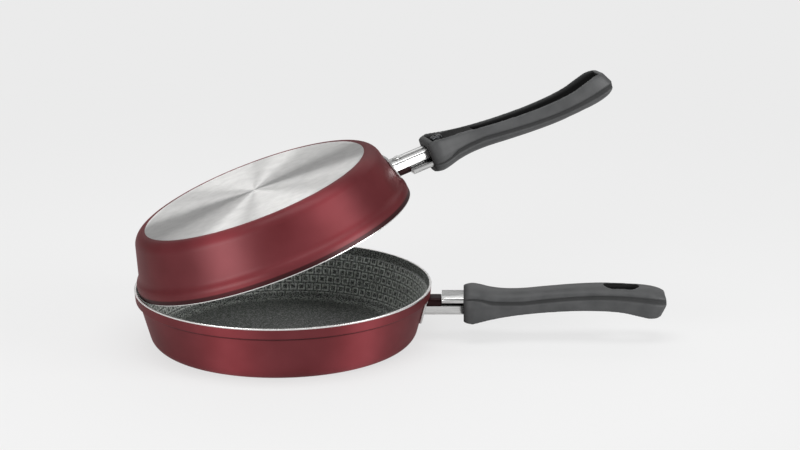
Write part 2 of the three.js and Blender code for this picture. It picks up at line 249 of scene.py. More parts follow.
def soften(piece: Piece, width: float, angle: float = 35) -> None:
    """Round a solid's edges.

    Args:
        piece: Solid to round.
        width: Width of the rounding.
        angle: Edges sharper than this many degrees are rounded.
    """
    apply_modifier(piece, "BEVEL", width=width, segments=2, limit_method="ANGLE",
                   angle_limit=math.radians(angle), harden_normals=False)


def shade(piece: Piece, angle: float = 35) -> None:
    """Shade a mesh smooth, but keep edges that are sharper than an angle in degrees."""
    make_active(piece)
    bpy.ops.object.shade_smooth_by_angle(angle=math.radians(angle))


def polyline(name: str, points: Sequence[Point], x: float = 0) -> Piece:
    """Wire through points of a profile, drawn by extruding one vertex.

    Args:
        name: Name of the object.
        points: Radius and height of each point.
        x: Place of the profile's axis along X.

    Returns:
        The wire, in the XZ plane.
    """
    deselect_all()
    bpy.ops.mesh.primitive_plane_add(size=MM, location=(0, 0, 0))
    piece = added(name)
    with editing(piece):
        bpy.ops.mesh.select_all(action="SELECT")
        bpy.ops.mesh.merge(type="CENTER")
        bpy.ops.transform.translate(value=(x + points[0][0], 0, points[0][1]))
        for before, after in zip(points, points[1:]):
            step = (after[0] - before[0], 0, after[1] - before[1])
            bpy.ops.mesh.extrude_vertices_move(TRANSFORM_OT_translate={"value": step})
    return piece


def turned(name: str, points: Sequence[Point], steps: int, x: float = 0) -> Piece:
    """Closed solid spun from a profile about an upright axis.

    Args:
        name: Name of the object.
        points: Radius and height of each point of the profile.
        steps: Steps round the axis.
        x: Place of the axis along X.

    Returns:
        The turned solid.
    """
    piece = polyline(name, points, x)
    with editing(piece):
        bpy.ops.mesh.select_all(action="SELECT")
        bpy.ops.mesh.spin(steps=steps, angle=TURN, center=(x, 0, 0), axis=(0, 0, 1))
        bpy.ops.mesh.select_all(action="SELECT")
        bpy.ops.mesh.remove_doubles(threshold=SAME)
        face_outwards()
    return piece


def arc(centre: Point, radius: float, start: float, end: float, steps: int) -> list[Point]:
    """Points of an arc.

    Args:
        centre: Middle of the arc.
        radius: Its radius.
        start: First angle in radians.
        end: Last angle in radians.
        steps: Number of steps.

    Returns:
        The points, both ends among them.
    """
    angles = [start + (end - start) * i / steps for i in range(steps + 1)]
    return [(centre[0] + radius * math.cos(a), centre[1] + radius * math.sin(a)) for a in angles]


def rounded_corner(before: Point, corner: Point, after: Point, radius: float, steps: int = 6) -> list[Point]:
    """Arc that rounds a corner of a profile.

    Args:
        before: Point before the corner.
        corner: The corner.
        after: Point after the corner.
        radius: Radius of the rounding.
        steps: Number of steps.

    Returns:
        Points of the arc.
    """
    here = Vector(corner)
    back = (Vector(before) - here).normalized()
    ahead = (Vector(after) - here).normalized()
    half = back.angle(ahead) / 2
    centre = here + (back + ahead).normalized() * radius / math.sin(half)
    start = here + back * radius / math.tan(half) - centre
    end = here + ahead * radius / math.tan(half) - centre
    first = math.atan2(start.y, start.x)
    sweep = (math.atan2(end.y, end.x) - first + math.pi) % TURN - math.pi
    return arc((centre.x, centre.y), radius, first, first + sweep, steps)


def stretch(start: Point, end: Point, steps: int) -> list[Point]:
    """Points between two ends, neither end among them."""
    return [tuple(a + (b - a) * i / steps for a, b in zip(start, end)) for i in range(1, steps)]


# Finishes


class Graph:
    """Node tree that is filled from code."""

    def __init__(self, tree: bpy.types.NodeTree) -> None:
        """Empty the tree."""
        self.tree = tree
        tree.nodes.clear()

    def feed(self, socket: Socket, value: object) -> None:
        """Link an input to an output, or give it a value.

        Args:
            socket: The input.
            value: Output that feeds it, or its value.
        """
        if isinstance(value, bpy.types.NodeSocket):
            self.tree.links.new(value, socket)
        else:
            socket.default_value = value

    def add(self, kind: str, inputs: dict[str | int, object], **settings: object) -> bpy.types.Node:
        """Add a node.

        Args:
            kind: Node type.
            inputs: Values or sockets for its inputs, by name or number.
            **settings: Attributes of the node.

        Returns:
            The new node.
        """
        node = self.tree.nodes.new(kind)
        for key, value in settings.items():
            setattr(node, key, value)
        for key, value in inputs.items():
            self.feed(node.inputs[key], value)
        return node

    def maths(self, operation: str, first: object, second: object = 0.0) -> Socket:
        """Result of a sum on one or two values."""
        return self.add("ShaderNodeMath", {0: first, 1: second}, operation=operation).outputs[0]

    def product(self, first: object, second: object) -> Socket:
        """Product of two values."""
        return self.maths("MULTIPLY", first, second)

    def distance(self, first: object, second: object) -> Socket:
        """How far one value is from another."""
        return self.maths("ABSOLUTE", self.maths("SUBTRACT", first, second))

    def mean(self, first: object, second: object, share: float) -> Socket:
        """Mean of two values, with the second one's share."""
        return self.maths("ADD", self.product(first, 1 - share), self.product(second, share))

    def spread(self, value: Socket, low: float, high: float, start: float = 0.3, end: float = 0.7) -> Socket:
        """Value stretched from one range to another, and held within it.

        Args:
            value: Input value.
            low: Result at the start of the range.
            high: Result at its end.
            start: Start of the range.
            end: End of the range.

        Returns:
            The new value.
        """
        return self.add("ShaderNodeMapRange", {
            "Value": value, "From Min": start, "From Max": end, "To Min": low, "To Max": high,
        }).outputs["Result"]

    def cover(self, share: Socket, under: Socket, over: Socket) -> Socket:
        """Shader that covers another one by a share."""
        return self.add("ShaderNodeMixShader", {0: share, 1: under, 2: over}).outputs[0]


class Surface(Graph):
    """Node graph of one material, with its shader and output in place."""

    def __init__(self, name: str) -> None:
        """Start a material with a principled shader.

        Args:
            name: Name of the material.
        """
        self.material = bpy.data.materials.new(name)
        self.material.use_nodes = True
        super().__init__(self.material.node_tree)
        self.shader = self.add("ShaderNodeBsdfPrincipled", {})
        self.add("ShaderNodeOutputMaterial", {"Surface": self.shader.outputs["BSDF"]})
        self.places = self.add("ShaderNodeTexCoord", {}).outputs["Object"]

    def noise(self, scale: float, detail: float = 3, places: Socket | None = None) -> Socket:
        """Noise between 0 and 1.

        Args:
            scale: Cells per metre.
            detail: Octaves.
            places: Coordinates, or the object's where left out.

        Returns:
            The noise value.
        """
        inputs = {"Vector": places or self.places, "Scale": scale, "Detail": detail}
        return self.add("ShaderNodeTexNoise", inputs).outputs["Fac"]

    def profile_place(self) -> tuple[Socket, Socket]:
        """Place on a pan's surface.

        Returns:
            Distance from the rim along the profile, and share of a turn round the axis.
        """
        place = self.add("ShaderNodeUVMap", {}, uv_map=PROFILE).outputs["UV"]
        parts = self.add("ShaderNodeSeparateXYZ", {"Vector": place}).outputs
        return parts["X"], parts["Y"]

    def blend(self, factor: object, first: object, second: object) -> Socket:
        """Colour between two colours.

        Args:
            factor: Share of the second colour.
            first: Colour at 0.
            second: Colour at 1.

        Returns:
            The blended colour.
        """
        node = self.add("ShaderNodeMix", {}, data_type="RGBA")
        for key, value in (("Factor_Float", factor), ("A_Color", first), ("B_Color", second)):
            self.feed(next(s for s in node.inputs if s.identifier == key), value)
        return next(s for s in node.outputs if s.identifier == "Result_Color")

    def relief(self, height: Socket, strength: float, depth: float) -> None:
        """Let a height between 0 and 1 bend the shader's normal, by a strength and a depth in metres."""
        bump = self.add("ShaderNodeBump", {"Height": height, "Strength": strength, "Distance": depth})
        self.feed(self.shader.inputs["Normal"], bump.outputs["Normal"])

    def spin(self, share: float) -> None:
        """Stretch highlights as the lines of a lathe do, by a share."""
        tangent = self.add("ShaderNodeTangent", {}, direction_type="UV_MAP", uv_map=PROFILE)
        self.set(Anisotropic=share, Tangent=tangent.outputs["Tangent"])

    def set(self, **values: object) -> None:
        """Set or link the shader's inputs, an underscore standing for a space."""
        for key, value in values.items():
            self.feed(self.shader.inputs[key.replace("_", " ")], value)


def tint(red: float, green: float, blue: float) -> Colour:
    """Opaque colour from linear values."""
    return (red, green, blue, 1)


def grey(value: float) -> Colour:
    """Opaque grey from a linear value."""
    return tint(value, value, value)


@dataclass(frozen=True)
class WineLacquer:
    """Metallic wine-red lacquer over spun metal, fine grained, with a clear gloss over it, and an optional
    band of painted shade at a given distance from the rim.
    """

    name: str = "wine_lacquer"
    deep: Colour = tint(0.135, 0.0185, 0.0225)
    bright: Colour = tint(0.21, 0.04, 0.048)
    edge: Colour = tint(0.35, 0.06, 0.075)
    # Painted shade: colour, distance from the rim, width, fade and strength of a dark band laid over the
    # lacquer.
    painted_shade: Colour = tint(0.02, 0.003, 0.004)
    painted_shade_start: float = 0
    painted_shade_width: float = 0
    painted_shade_fade: float = MM
    painted_shade_share: float = 0.85
    metallic: float = 0.75
    roughness: tuple[float, float] = (0.55, 0.66)
    coat: float = 0.3
    coat_roughness: float = 0.38
    spun: float = 0.87
    cloud_scale: float = 35
    flake_scale: float = 7000
    grain_scale: float = 900
    grain_strength: float = 0.08
    grain_depth: float = 0.05 * MM

    def build(self) -> bpy.types.Material:
        """Build the material.

        Returns:
            The material.
        """
        graph = Surface(self.name)
        flakes = graph.noise(self.flake_scale, 2)
        shades = graph.mean(graph.noise(self.cloud_scale, 2), flakes, 0.5)
        colour = graph.blend(graph.spread(shades, 0, 1), self.deep, self.bright)
        # Painted shade laid over the lacquer in a band along the profile.
        if self.painted_shade_width:
            far = -self.painted_shade_start - self.painted_shade_width
            depth = graph.profile_place()[0]
            painted_shade = graph.spread(depth, 0, self.painted_shade_share, far - self.painted_shade_fade, far)
            if self.painted_shade_start:
                near = graph.spread(depth, 1, 0, -self.painted_shade_start - self.painted_shade_fade, -self.painted_shade_start)
                painted_shade = graph.product(painted_shade, near)
            colour = graph.blend(painted_shade, colour, self.painted_shade)
        graph.set(Base_Color=colour, Roughness=graph.spread(flakes, *self.roughness), Metallic=self.metallic,
                  Specular_Tint=self.edge, Coat_Weight=self.coat, Coat_Roughness=self.coat_roughness)
        if self.spun:
            graph.spin(self.spun)
        graph.relief(graph.noise(self.grain_scale), self.grain_strength, self.grain_depth)
        return graph.material


@dataclass(frozen=True)
class CloudedMetal:
    """Metal with clouds of wear, drawn out into lines where a stretch is given."""

    name: str
    light: Colour
    dull: Colour
    roughness: tuple[float, float]
    scale: float
    strength: float = 0.1
    depth: float = 0.05 * MM
    stretch: tuple[float, float, float] | None = None
    detail: float = 4

    def build(self) -> bpy.types.Material:
        """Build the material.

        Returns:
            The material.
        """
        graph = Surface(self.name)
        places = graph.places
        if self.stretch:
            inputs = {"Vector": places, "Scale": self.stretch}
            places = graph.add("ShaderNodeMapping", inputs).outputs["Vector"]
        wear = graph.noise(self.scale, self.detail, places)
        graph.set(Base_Color=graph.blend(graph.spread(wear, 0, 1), self.light, self.dull),
                  Roughness=graph.spread(wear, *self.roughness), Metallic=1.0)
        graph.relief(wear, self.strength, self.depth)
        return graph.material


BARE_RIM = CloudedMetal("bare_rim", tint(0.86, 0.85, 0.84), tint(0.7, 0.69, 0.68), (0.2, 0.38), 600)
POLISHED_STEEL = CloudedMetal("polished_steel", tint(0.7, 0.7, 0.69), tint(0.5, 0.5, 0.5), (0.18, 0.3), 300,
                              strength=0.05, depth=0.03 * MM, stretch=(0.3, 12, 12))
# Zinc-plated steel, darkened almost to black as painted shade for the screw, washer and spacer, which sit in
# the grip's hollow.
ZINC_STEEL = CloudedMetal("zinc_steel", tint(0.08, 0.083, 0.088), tint(0.035, 0.036, 0.039), (0.3, 0.45), 500)


@dataclass(frozen=True)
class TurnedAluminium:
    """Aluminium turned on a lathe, with fine rings that stretch its highlights along the radius."""

    light: Colour = tint(0.84, 0.835, 0.82)
    dull: Colour = tint(0.66, 0.655, 0.645)
    roughness: tuple[float, float] = (0.27, 0.34)
    ring_pitch: float = 0.5 * MM
    ring_depth: float = 0.03 * MM
    ring_strength: float = 0.12
    broad_scale: float = 60
    wear_scale: float = 160
    wear_share: float = 0.6

    def build(self) -> bpy.types.Material:
        """Build the material.

        Returns:
            The material.
        """
        graph = Surface("turned_aluminium")
        line = graph.add("ShaderNodeCombineXYZ", {"X": graph.profile_place()[0]}).outputs["Vector"]
        rings = graph.noise(1 / self.ring_pitch, 3, line)
        broad = graph.noise(self.broad_scale, 2, line)
        shades = graph.mean(rings, graph.noise(self.wear_scale, 4), self.wear_share)
        graph.set(Base_Color=graph.blend(graph.spread(shades, 0, 1), self.light, self.dull),
                  Roughness=graph.spread(broad, *self.roughness), Metallic=1.0)
        graph.spin(1.0)
        graph.relief(rings, self.ring_strength, self.ring_depth)
        return graph.material


@dataclass(frozen=True)
class NonStick:
    """Dark speckled non-stick coating with staggered rows of small squares on the wall."""

    ledge: float
    floor_edge: float
    dark: Colour = tint(0.027, 0.03, 0.027)
    light: Colour = tint(0.64, 0.67, 0.63)
    roughness: tuple[float, float] = (0.42, 0.54)
    cell: float = 6 * MM
    cells_round: int = 96
    line_place: float = 0.33
    line_fade: tuple[float, float] = (0.05, 0.12)
    ledge_fade: float = 1.5 * MM
    foot_fade: tuple[float, float] = (8 * MM, 5 * MM)
    edge_fade: tuple[float, float] = (1.5 * MM, 5 * MM)
    far_speck: float = 0.42
    speck: float = 0.95
    speck_scale: float = 1200
    speck_range: tuple[float, float] = (0.47, 0.6)
    blotch: float = 0.3
    blotch_scale: float = 650
    blotch_range: tuple[float, float] = (0.38, 0.6)
    grain_scale: float = 1300
    relief_strength: float = 0.4
    relief_depth: float = 0.12 * MM

    def build(self) -> bpy.types.Material:
        """Build the material.

        Returns:
            The material.
        """
        graph = Surface("non_stick")
        depth, around = graph.profile_place()
        rows = graph.maths("DIVIDE", depth, self.cell)
        shift = graph.product(graph.maths("FLOOR", rows), 0.5)
        across = graph.maths("FRACT", rows)
        beside = graph.maths("FRACT", graph.maths("ADD", graph.product(around, self.cells_round), shift))
        reach = graph.maths("MAXIMUM", graph.distance(across, 0.5), graph.distance(beside, 0.5))
        off_line = graph.spread(graph.distance(reach, self.line_place), 0, 1, *self.line_fade)
        below_ledge = graph.spread(depth, 0, 1, self.ledge, self.ledge + self.ledge_fade)
        above_foot = graph.spread(depth, 1, 0, *(self.floor_edge - fade for fade in self.foot_fade))
        line = graph.product(graph.maths("SUBTRACT", 1.0, off_line), graph.product(below_ledge, above_foot))
        blotches = graph.spread(graph.noise(self.blotch_scale, 2), self.blotch, 1, *self.blotch_range)
        pattern = graph.product(line, blotches)
        on_edge = graph.spread(graph.distance(depth, self.floor_edge), 1, self.far_speck, *self.edge_fade)
        specks = graph.spread(graph.noise(self.speck_scale, 1), 0, 1, *self.speck_range)
        speckle = graph.product(specks, graph.product(on_edge, self.speck))
        graph.set(Base_Color=graph.blend(graph.maths("MAXIMUM", pattern, speckle), self.dark, self.light),
                  Roughness=graph.spread(graph.noise(self.grain_scale), *self.roughness), Metallic=0.0,
                  Specular_IOR_Level=0.5)
        graph.relief(pattern, self.relief_strength, self.relief_depth)
        return graph.material


@dataclass(frozen=True)
class SatinBakelite:
    """Black moulded phenolic: satin outside, duller in its groove, hollow, slot and front, where painted
    shade darkens it.
    """

    dark: Colour = tint(0.042, 0.043, 0.044)
    worn: Colour = tint(0.06, 0.061, 0.062)
    # Colour of the painted shade in the grip's recesses.
    deep: Colour = tint(0.004, 0.004, 0.004)
    roughness: tuple[float, float] = (0.44, 0.52)
    deep_roughness: float = 0.5
    specular: float = 0.3
    cloud_scale: float = 90
    grain_scale: float = 2500
    grain_strength: float = 0.12
    grain_depth: float = 0.04 * MM

    def build(self) -> bpy.types.Material:
        """Build the material.

        Returns:
            The material.
        """
        graph = Surface("satin_bakelite")
        # The recess attribute gives how much painted shade each point gets.
        recess = graph.add("ShaderNodeAttribute", {}, attribute_name="recess").outputs["Fac"]
        clouds = graph.noise(self.cloud_scale)
        skin = graph.blend(graph.spread(clouds, 0, 1), self.dark, self.worn)
        duller = graph.product(recess, self.deep_roughness)
        graph.set(Base_Color=graph.blend(recess, skin, self.deep),
                  Roughness=graph.maths("ADD", graph.spread(clouds, *self.roughness), duller),
                  Metallic=0.0, Specular_IOR_Level=self.specular)
        graph.relief(graph.noise(self.grain_scale), self.grain_strength, self.grain_depth)
        return graph.material


@dataclass(frozen=True)
class Finishes:
    """All finishes of the object, built once."""

    # Lower pan's lacquer, with painted shade along its step.
    lacquer: bpy.types.Material
    # Upper pan's lacquer, with painted shade along the rim.
    painted_rim_shade: bpy.types.Material
    # Lug's lacquer, darkened almost to black as painted shade under the rim, between rail and cover strip.
    weld: bpy.types.Material
    rim: bpy.types.Material
    turned: bpy.types.Material
    coating: bpy.types.Material
    steel: bpy.types.Material
    # Zinc-plated steel darkened as painted shade.
    zinc: bpy.types.Material
    bakelite: bpy.types.Material

    @classmethod
    def build(cls, pan: "PanSizes") -> "Finishes":
        """Build every finish.

        Args:
            pan: Sizes of a pan, for the places of the coating's pattern.

        Returns:
            The finishes.
        """
        finishes = (
            # Lower pan: painted shade along the step below the band.
            WineLacquer(painted_shade_start=8.6 * MM, painted_shade_width=3 * MM),
            # Upper pan: painted shade in a band along the rim, above the bare edge.
            WineLacquer("lacquer_painted_rim_shade", painted_shade_width=4.4 * MM),
            # Lug: the lacquer darkened almost to black, as painted shade under the rim, between rail and
            # cover strip.
            WineLacquer("lug_lacquer_painted_shade", tint(0.012, 0.002, 0.0025), tint(0.022, 0.003, 0.004), spun=0),
            BARE_RIM, TurnedAluminium(), NonStick(pan.coating_depth(pan.ledge), pan.coating_depth(pan.floor)),
            POLISHED_STEEL, ZINC_STEEL, SatinBakelite(),
        )
        return cls(*(finish.build() for finish in finishes))


# Pans


@dataclass(frozen=True)
class PanSizes:
    """Sizes of one pressed pan, in its own frame with the base at height 0."""

    rim_radius: float
    height: float = 40 * MM
    wall: float = 1.7 * MM
    floor: float = 2.8 * MM
    lean: float = math.radians(15.5)
    band_height: float = 7.6 * MM
    band_flare: float = 0.7 * MM
    step_width: float = 2.7 * MM
    step_drop: float = 1.2 * MM
    step_slope: float = 0
    step_roundings: tuple[float, float] = (1.1 * MM, 0.8 * MM)
    ledge_roundings: tuple[float, float] = (0.8 * MM, 1.2 * MM)
    ledge_reach: float = 6 * MM
    rim_rounding: float = 0.35 * MM
    corner_radius: float = 10 * MM
    turned_depth: float = 0.3 * MM
    bare_edge: float = 1.1 * MM
    bare_inset: float = 2.8 * MM
    bare_depth: float = 0.15 * MM
    base_steps: int = 40
    floor_steps: int = 30
    corner_steps: tuple[int, int] = (22, 18)

    @property
    def step_top(self) -> float:
        """Height of the upper edge of the step."""
        return self.height - self.band_height

    @property
    def step_bottom(self) -> float:
        """Height of the lower edge of the step."""
        return self.step_top - self.step_drop

    @property
    def band_radius(self) -> float:
        """Outer radius at the foot of the band."""
        return self.rim_radius - self.band_flare

    @property
    def ledge(self) -> float:
        """Height of the ledge inside the pan."""
        return self.step_top + self.wall

    @property
    def band_inner_radius(self) -> float:
        """Inner radius at the foot of the band."""
        return self.band_radius - self.wall

    def outer_radius(self, z: float) -> float:
        """Outer radius of the leaning wall at a height."""
        return self.band_radius - self.step_width - (self.step_bottom - z) * math.tan(self.lean)

    def inner_radius(self, z: float) -> float:
        """Inner radius of the leaning wall at a height."""
        return self.outer_radius(z) - self.wall / math.cos(self.lean)

    def profile(self) -> list[tuple[float, float, PanZone]]:
        """Profile from the middle of the base round to the middle of the floor.

        Returns:
            Radius and height of each point, with the finish of the stretch that starts there.
        """
        outer_z = self.corner_radius - self.turned_depth
        outer_x = self.outer_radius(outer_z) - self.corner_radius / math.cos(self.lean)
        start = -math.asin(outer_z / self.corner_radius)
        inner_corner = self.corner_radius - self.wall
        inner_z = self.floor + inner_corner
        inner_x = self.inner_radius(inner_z) - inner_corner / math.cos(self.lean)
        bare_disc = outer_x + self.corner_radius * math.cos(start) - self.bare_inset
        foot_z = self.step_bottom - self.step_slope
        foot = (self.outer_radius(foot_z), foot_z)
        edge = (self.band_radius, self.step_top)
        rim_slope = self.band_flare / self.band_height
        bare = (self.rim_radius - rim_slope * self.bare_edge, self.height - self.bare_edge)
        rim = (self.rim_radius, self.height)
        inner_rim = (self.rim_radius - self.wall, self.height)
        band_foot = (self.band_inner_radius, self.ledge)
        ledge_edge = (self.inner_radius(self.ledge), self.ledge)
        wall_top = (self.inner_radius(self.ledge - self.ledge_reach), self.ledge - self.ledge_reach)
        outer_steps, inner_steps = self.corner_steps
        outer_arc = arc((outer_x, outer_z), self.corner_radius, start, -self.lean, outer_steps)
        inner_arc = arc((inner_x, inner_z), inner_corner, -self.lean, -math.pi / 2, inner_steps)
        base = [(bare_disc * i / self.base_steps, self.bare_depth) for i in range(self.base_steps + 1)]
        floor = [(inner_arc[-1][0] * i / self.floor_steps, self.floor)
                 for i in range(self.floor_steps - 1, -1, -1)]
        zones: list[tuple[list[Point], PanZone]] = [
            (base, PanZone.TURNED_BASE),
            ([(bare_disc + 2 * self.bare_depth, 0)] + outer_arc, PanZone.LACQUER),
            (stretch(outer_arc[-1], foot, 5), PanZone.LACQUER),
            (rounded_corner(outer_arc[-1], foot, edge, self.step_roundings[0]), PanZone.LACQUER),
            (rounded_corner(foot, edge, rim, self.step_roundings[1]), PanZone.LACQUER),
            ([bare], PanZone.BARE_RIM),
            (rounded_corner(edge, rim, inner_rim, self.rim_rounding), PanZone.BARE_RIM),
            (rounded_corner(rim, inner_rim, band_foot, self.rim_rounding), PanZone.NON_STICK),
            (rounded_corner(inner_rim, band_foot, ledge_edge, self.ledge_roundings[0]), PanZone.NON_STICK),
            (rounded_corner(band_foot, ledge_edge, wall_top, self.ledge_roundings[1]), PanZone.NON_STICK),
            (stretch(wall_top, inner_arc[0], 4) + inner_arc + floor, PanZone.NON_STICK),
        ]
        return [(*point, zone) for points, zone in zones for point in points]

    def lengths(self) -> np.ndarray:
        """Place of every point of the profile, measured along the profile.

        Returns:
            Distances from the rim, positive inside.
        """
        profile = self.profile()
        corners = np.array([point[:2] for point in profile])
        lengths = np.concatenate([[0], np.cumsum(np.linalg.norm(np.diff(corners, axis=0), axis=1))])
        return lengths - lengths[[point[2] for point in profile].index(PanZone.NON_STICK)]

    def coating_depth(self, z: float) -> float:
        """How far from the rim, along the inside, the profile comes down to a height.

        Args:
            z: Height to reach.

        Returns:
            The distance from the rim.
        """
        return min(length for (_, level, zone), length in zip(self.profile(), self.lengths())
                   if zone is PanZone.NON_STICK and level < z + FINE)


@dataclass
class Pan:
    """Pressed frying pan: red outside, dark inside, with a bare rim and a bare turned base."""

    body: Body
    sizes: PanSizes
    place: Matrix
    steps: int = 192
    crisp_angle: float = 50

    def build(self, finishes: Finishes) -> None:
        """Spin the pan from its profile, lay out its surface and dress it.

        Args:
            finishes: Finishes of the object.
        """
        profile = self.sizes.profile()
        piece = turned(f"{self.body.value}_pan_shell", [point[:2] for point in profile], self.steps)
        # The upper pan's lacquer has painted shade along its rim, and the lower one's along its step.
        lacquer = finishes.painted_rim_shade if self.body is Body.UPPER else finishes.lacquer
        for material in (lacquer, finishes.rim, finishes.turned, finishes.coating):
            piece.data.materials.append(material)
        self.lay_out(piece.data, profile)
        shade(piece, self.crisp_angle)
        finish_piece(piece, self.body, self.place, [f"{self.body.value}_pan"])

    def lay_out(self, mesh: bpy.types.Mesh, profile: Sequence[tuple[float, float, PanZone]]) -> None:
        """Give each face its finish, and its place along the profile and round the axis.

        Args:
            mesh: Mesh of the pan, still in its own frame.
            profile: The profile that it was spun from.
        """
        corners = np.array([point[:2] for point in profile])
        lengths = self.sizes.lengths()
        middles = (corners[1:] + corners[:-1]) / 2
        layer = mesh.uv_layers.new(name=PROFILE)
        places = np.array([vertex.co for vertex in mesh.vertices])
        radii = np.hypot(places[:, 0], places[:, 1])
        angles = np.arctan2(places[:, 1], places[:, 0]) / TURN
        for face in mesh.polygons:
            middle = places[list(face.vertices)].mean(0)
            radius = radii[list(face.vertices)].mean()
            gaps = np.hypot(middles[:, 0] - radius, middles[:, 1] - middle[2])
            span = int(np.argmin(gaps))
            face.material_index = profile[span][2].value
            turn = math.atan2(middle[1], middle[0]) / TURN
            for loop in face.loop_indices:
                vertex = mesh.loops[loop].vertex_index
                point = (radii[vertex], places[vertex, 2])
                end = min((span, span + 1), key=lambda i: math.dist(corners[i], point))
                around = turn if point[0] < FINE else turn + (angles[vertex] - turn + 0.5) % 1 - 0.5
                layer.data[loop].uv = (lengths[end], around)


def finish_piece(piece: Piece, body: Body, place: Matrix, nodes: Sequence[str]) -> None:
    """Put a piece where it belongs and tell the frame what it is.

    Args:
        piece: The piece, in its pan's own frame.
        body: Body that it rides on.
        place: Where the pan's own frame stands.
        nodes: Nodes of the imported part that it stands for.
    """
    make_active(piece)
    piece.matrix_world = place
    bpy.ops.object.transform_apply(location=True, rotation=True, scale=True)
    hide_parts(*nodes)
    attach(piece, body.value)
    LOG.info("%s: %d faces on %s", piece.name, len(piece.data.polygons), body.value)


# Handles


@dataclass(frozen=True)
class HandleSizes:
    """Sizes of one handle, along +X from the axis of its pan."""

    wall_x: float
    lean: float = math.radians(15.5)
    steel: float = 1.5 * MM
    cover_top: float = 32.6 * MM
    cover_height: float = 4.1 * MM
    cover_width: float = 20.5 * MM
    rail_gap: float = 2.8 * MM
    rail_width: float = 17 * MM
    rail_height: float = 6.5 * MM
    reach: float = 27.3 * MM
    cover_setback: float = 12 * MM
    shoulder: float = 13 * MM
    tongue: float = 31 * MM
    tongue_width: float = 12 * MM
    flange_width: float = 30 * MM
    flange_height: float = 14.6 * MM
    fit: float = 0.3 * MM
    bend: float = 1.6 * MM
    grip_length: float = 141.5 * MM
    collar_half_width: float = 15.5 * MM
    collar_half_height: float = 12.6 * MM
    grip_wall: float = 2.2 * MM
    grip_front_wall: float = 4 * MM
    block_floor: float = 1.6 * MM
    block_end_wall: float = 4 * MM
    rib_thickness: float = 2 * MM
    rib_recess: float = 5 * MM
    rib_shares: tuple[float, ...] = (0.38, 0.49, 0.6)
    slot_length: float = 24 * MM
    slot_width: float = 9.5 * MM
    slot_wall: float = 2.4 * MM
    slot_end_margin: float = 19.5 * MM
    slot_recess_height: float = 14.6 * MM
    slot_recess_width: float = 2.2 * MM
    slot_recess_end: float = 0.4 * MM
    screw_inset: float = 9.5 * MM
    screw_radius: float = 2.4 * MM
    washer: float = 0.6 * MM

    @property
    def cover_bottom(self) -> float:
        """Height of the cover strip's lower edges."""
        return self.cover_top - self.cover_height

    @property
    def rail_top(self) -> float:
        """Height of the rail's upper edges."""
        return self.cover_bottom - self.rail_gap

    @property
    def rail_bottom(self) -> float:
        """Height of the rail's underside."""
        return self.rail_top - self.rail_height

    @property
    def web_top(self) -> float:
        """Height of the top of the rail's web."""
        return self.rail_bottom + self.steel

    @property
    def block_bottom(self) -> float:
        """Height of the screw block's underside, in the grip."""
        return self.rail_bottom - self.fit - self.block_floor

    @property
    def centre(self) -> float:
        """Height of the bracket's middle."""
        return (self.cover_top + self.rail_bottom) / 2

    @property
    def cover_start(self) -> float:
        """Place of the cover strip's end towards the pan."""
        return self.wall_x + self.cover_setback

    @property
    def grip_front(self) -> float:
        """Place of the grip's front."""
        return self.wall_x + self.reach

    @property
    def shoulder_end(self) -> float:
        """Place where the bracket's full section ends."""
        return self.grip_front + self.shoulder

    @property
    def tongue_end(self) -> float:
        """Place where the bracket's tongues end."""
        return self.grip_front + self.tongue

    @property
    def screw_x(self) -> float:
        """Place of the clamp screw."""
        return self.grip_front + self.screw_inset

    @property
    def rivet_x(self) -> float:
        """Place of the rivet."""
        return self.wall_x + self.cover_setback / 2

    @property
    def slot_x(self) -> float:
        """Place of the middle of the hanging slot."""
        return self.grip_front + self.grip_length - self.slot_end_margin - self.slot_length / 2

    @property
    def slot_reach(self) -> float:
        """How far the middles of the slot's round ends are from its middle."""
        return (self.slot_length - self.slot_width) / 2

    def wall_radius(self, z: float) -> float:
        """Radius of the pan's wall at a height."""
        return self.wall_x + (z - self.centre) * math.tan(self.lean)


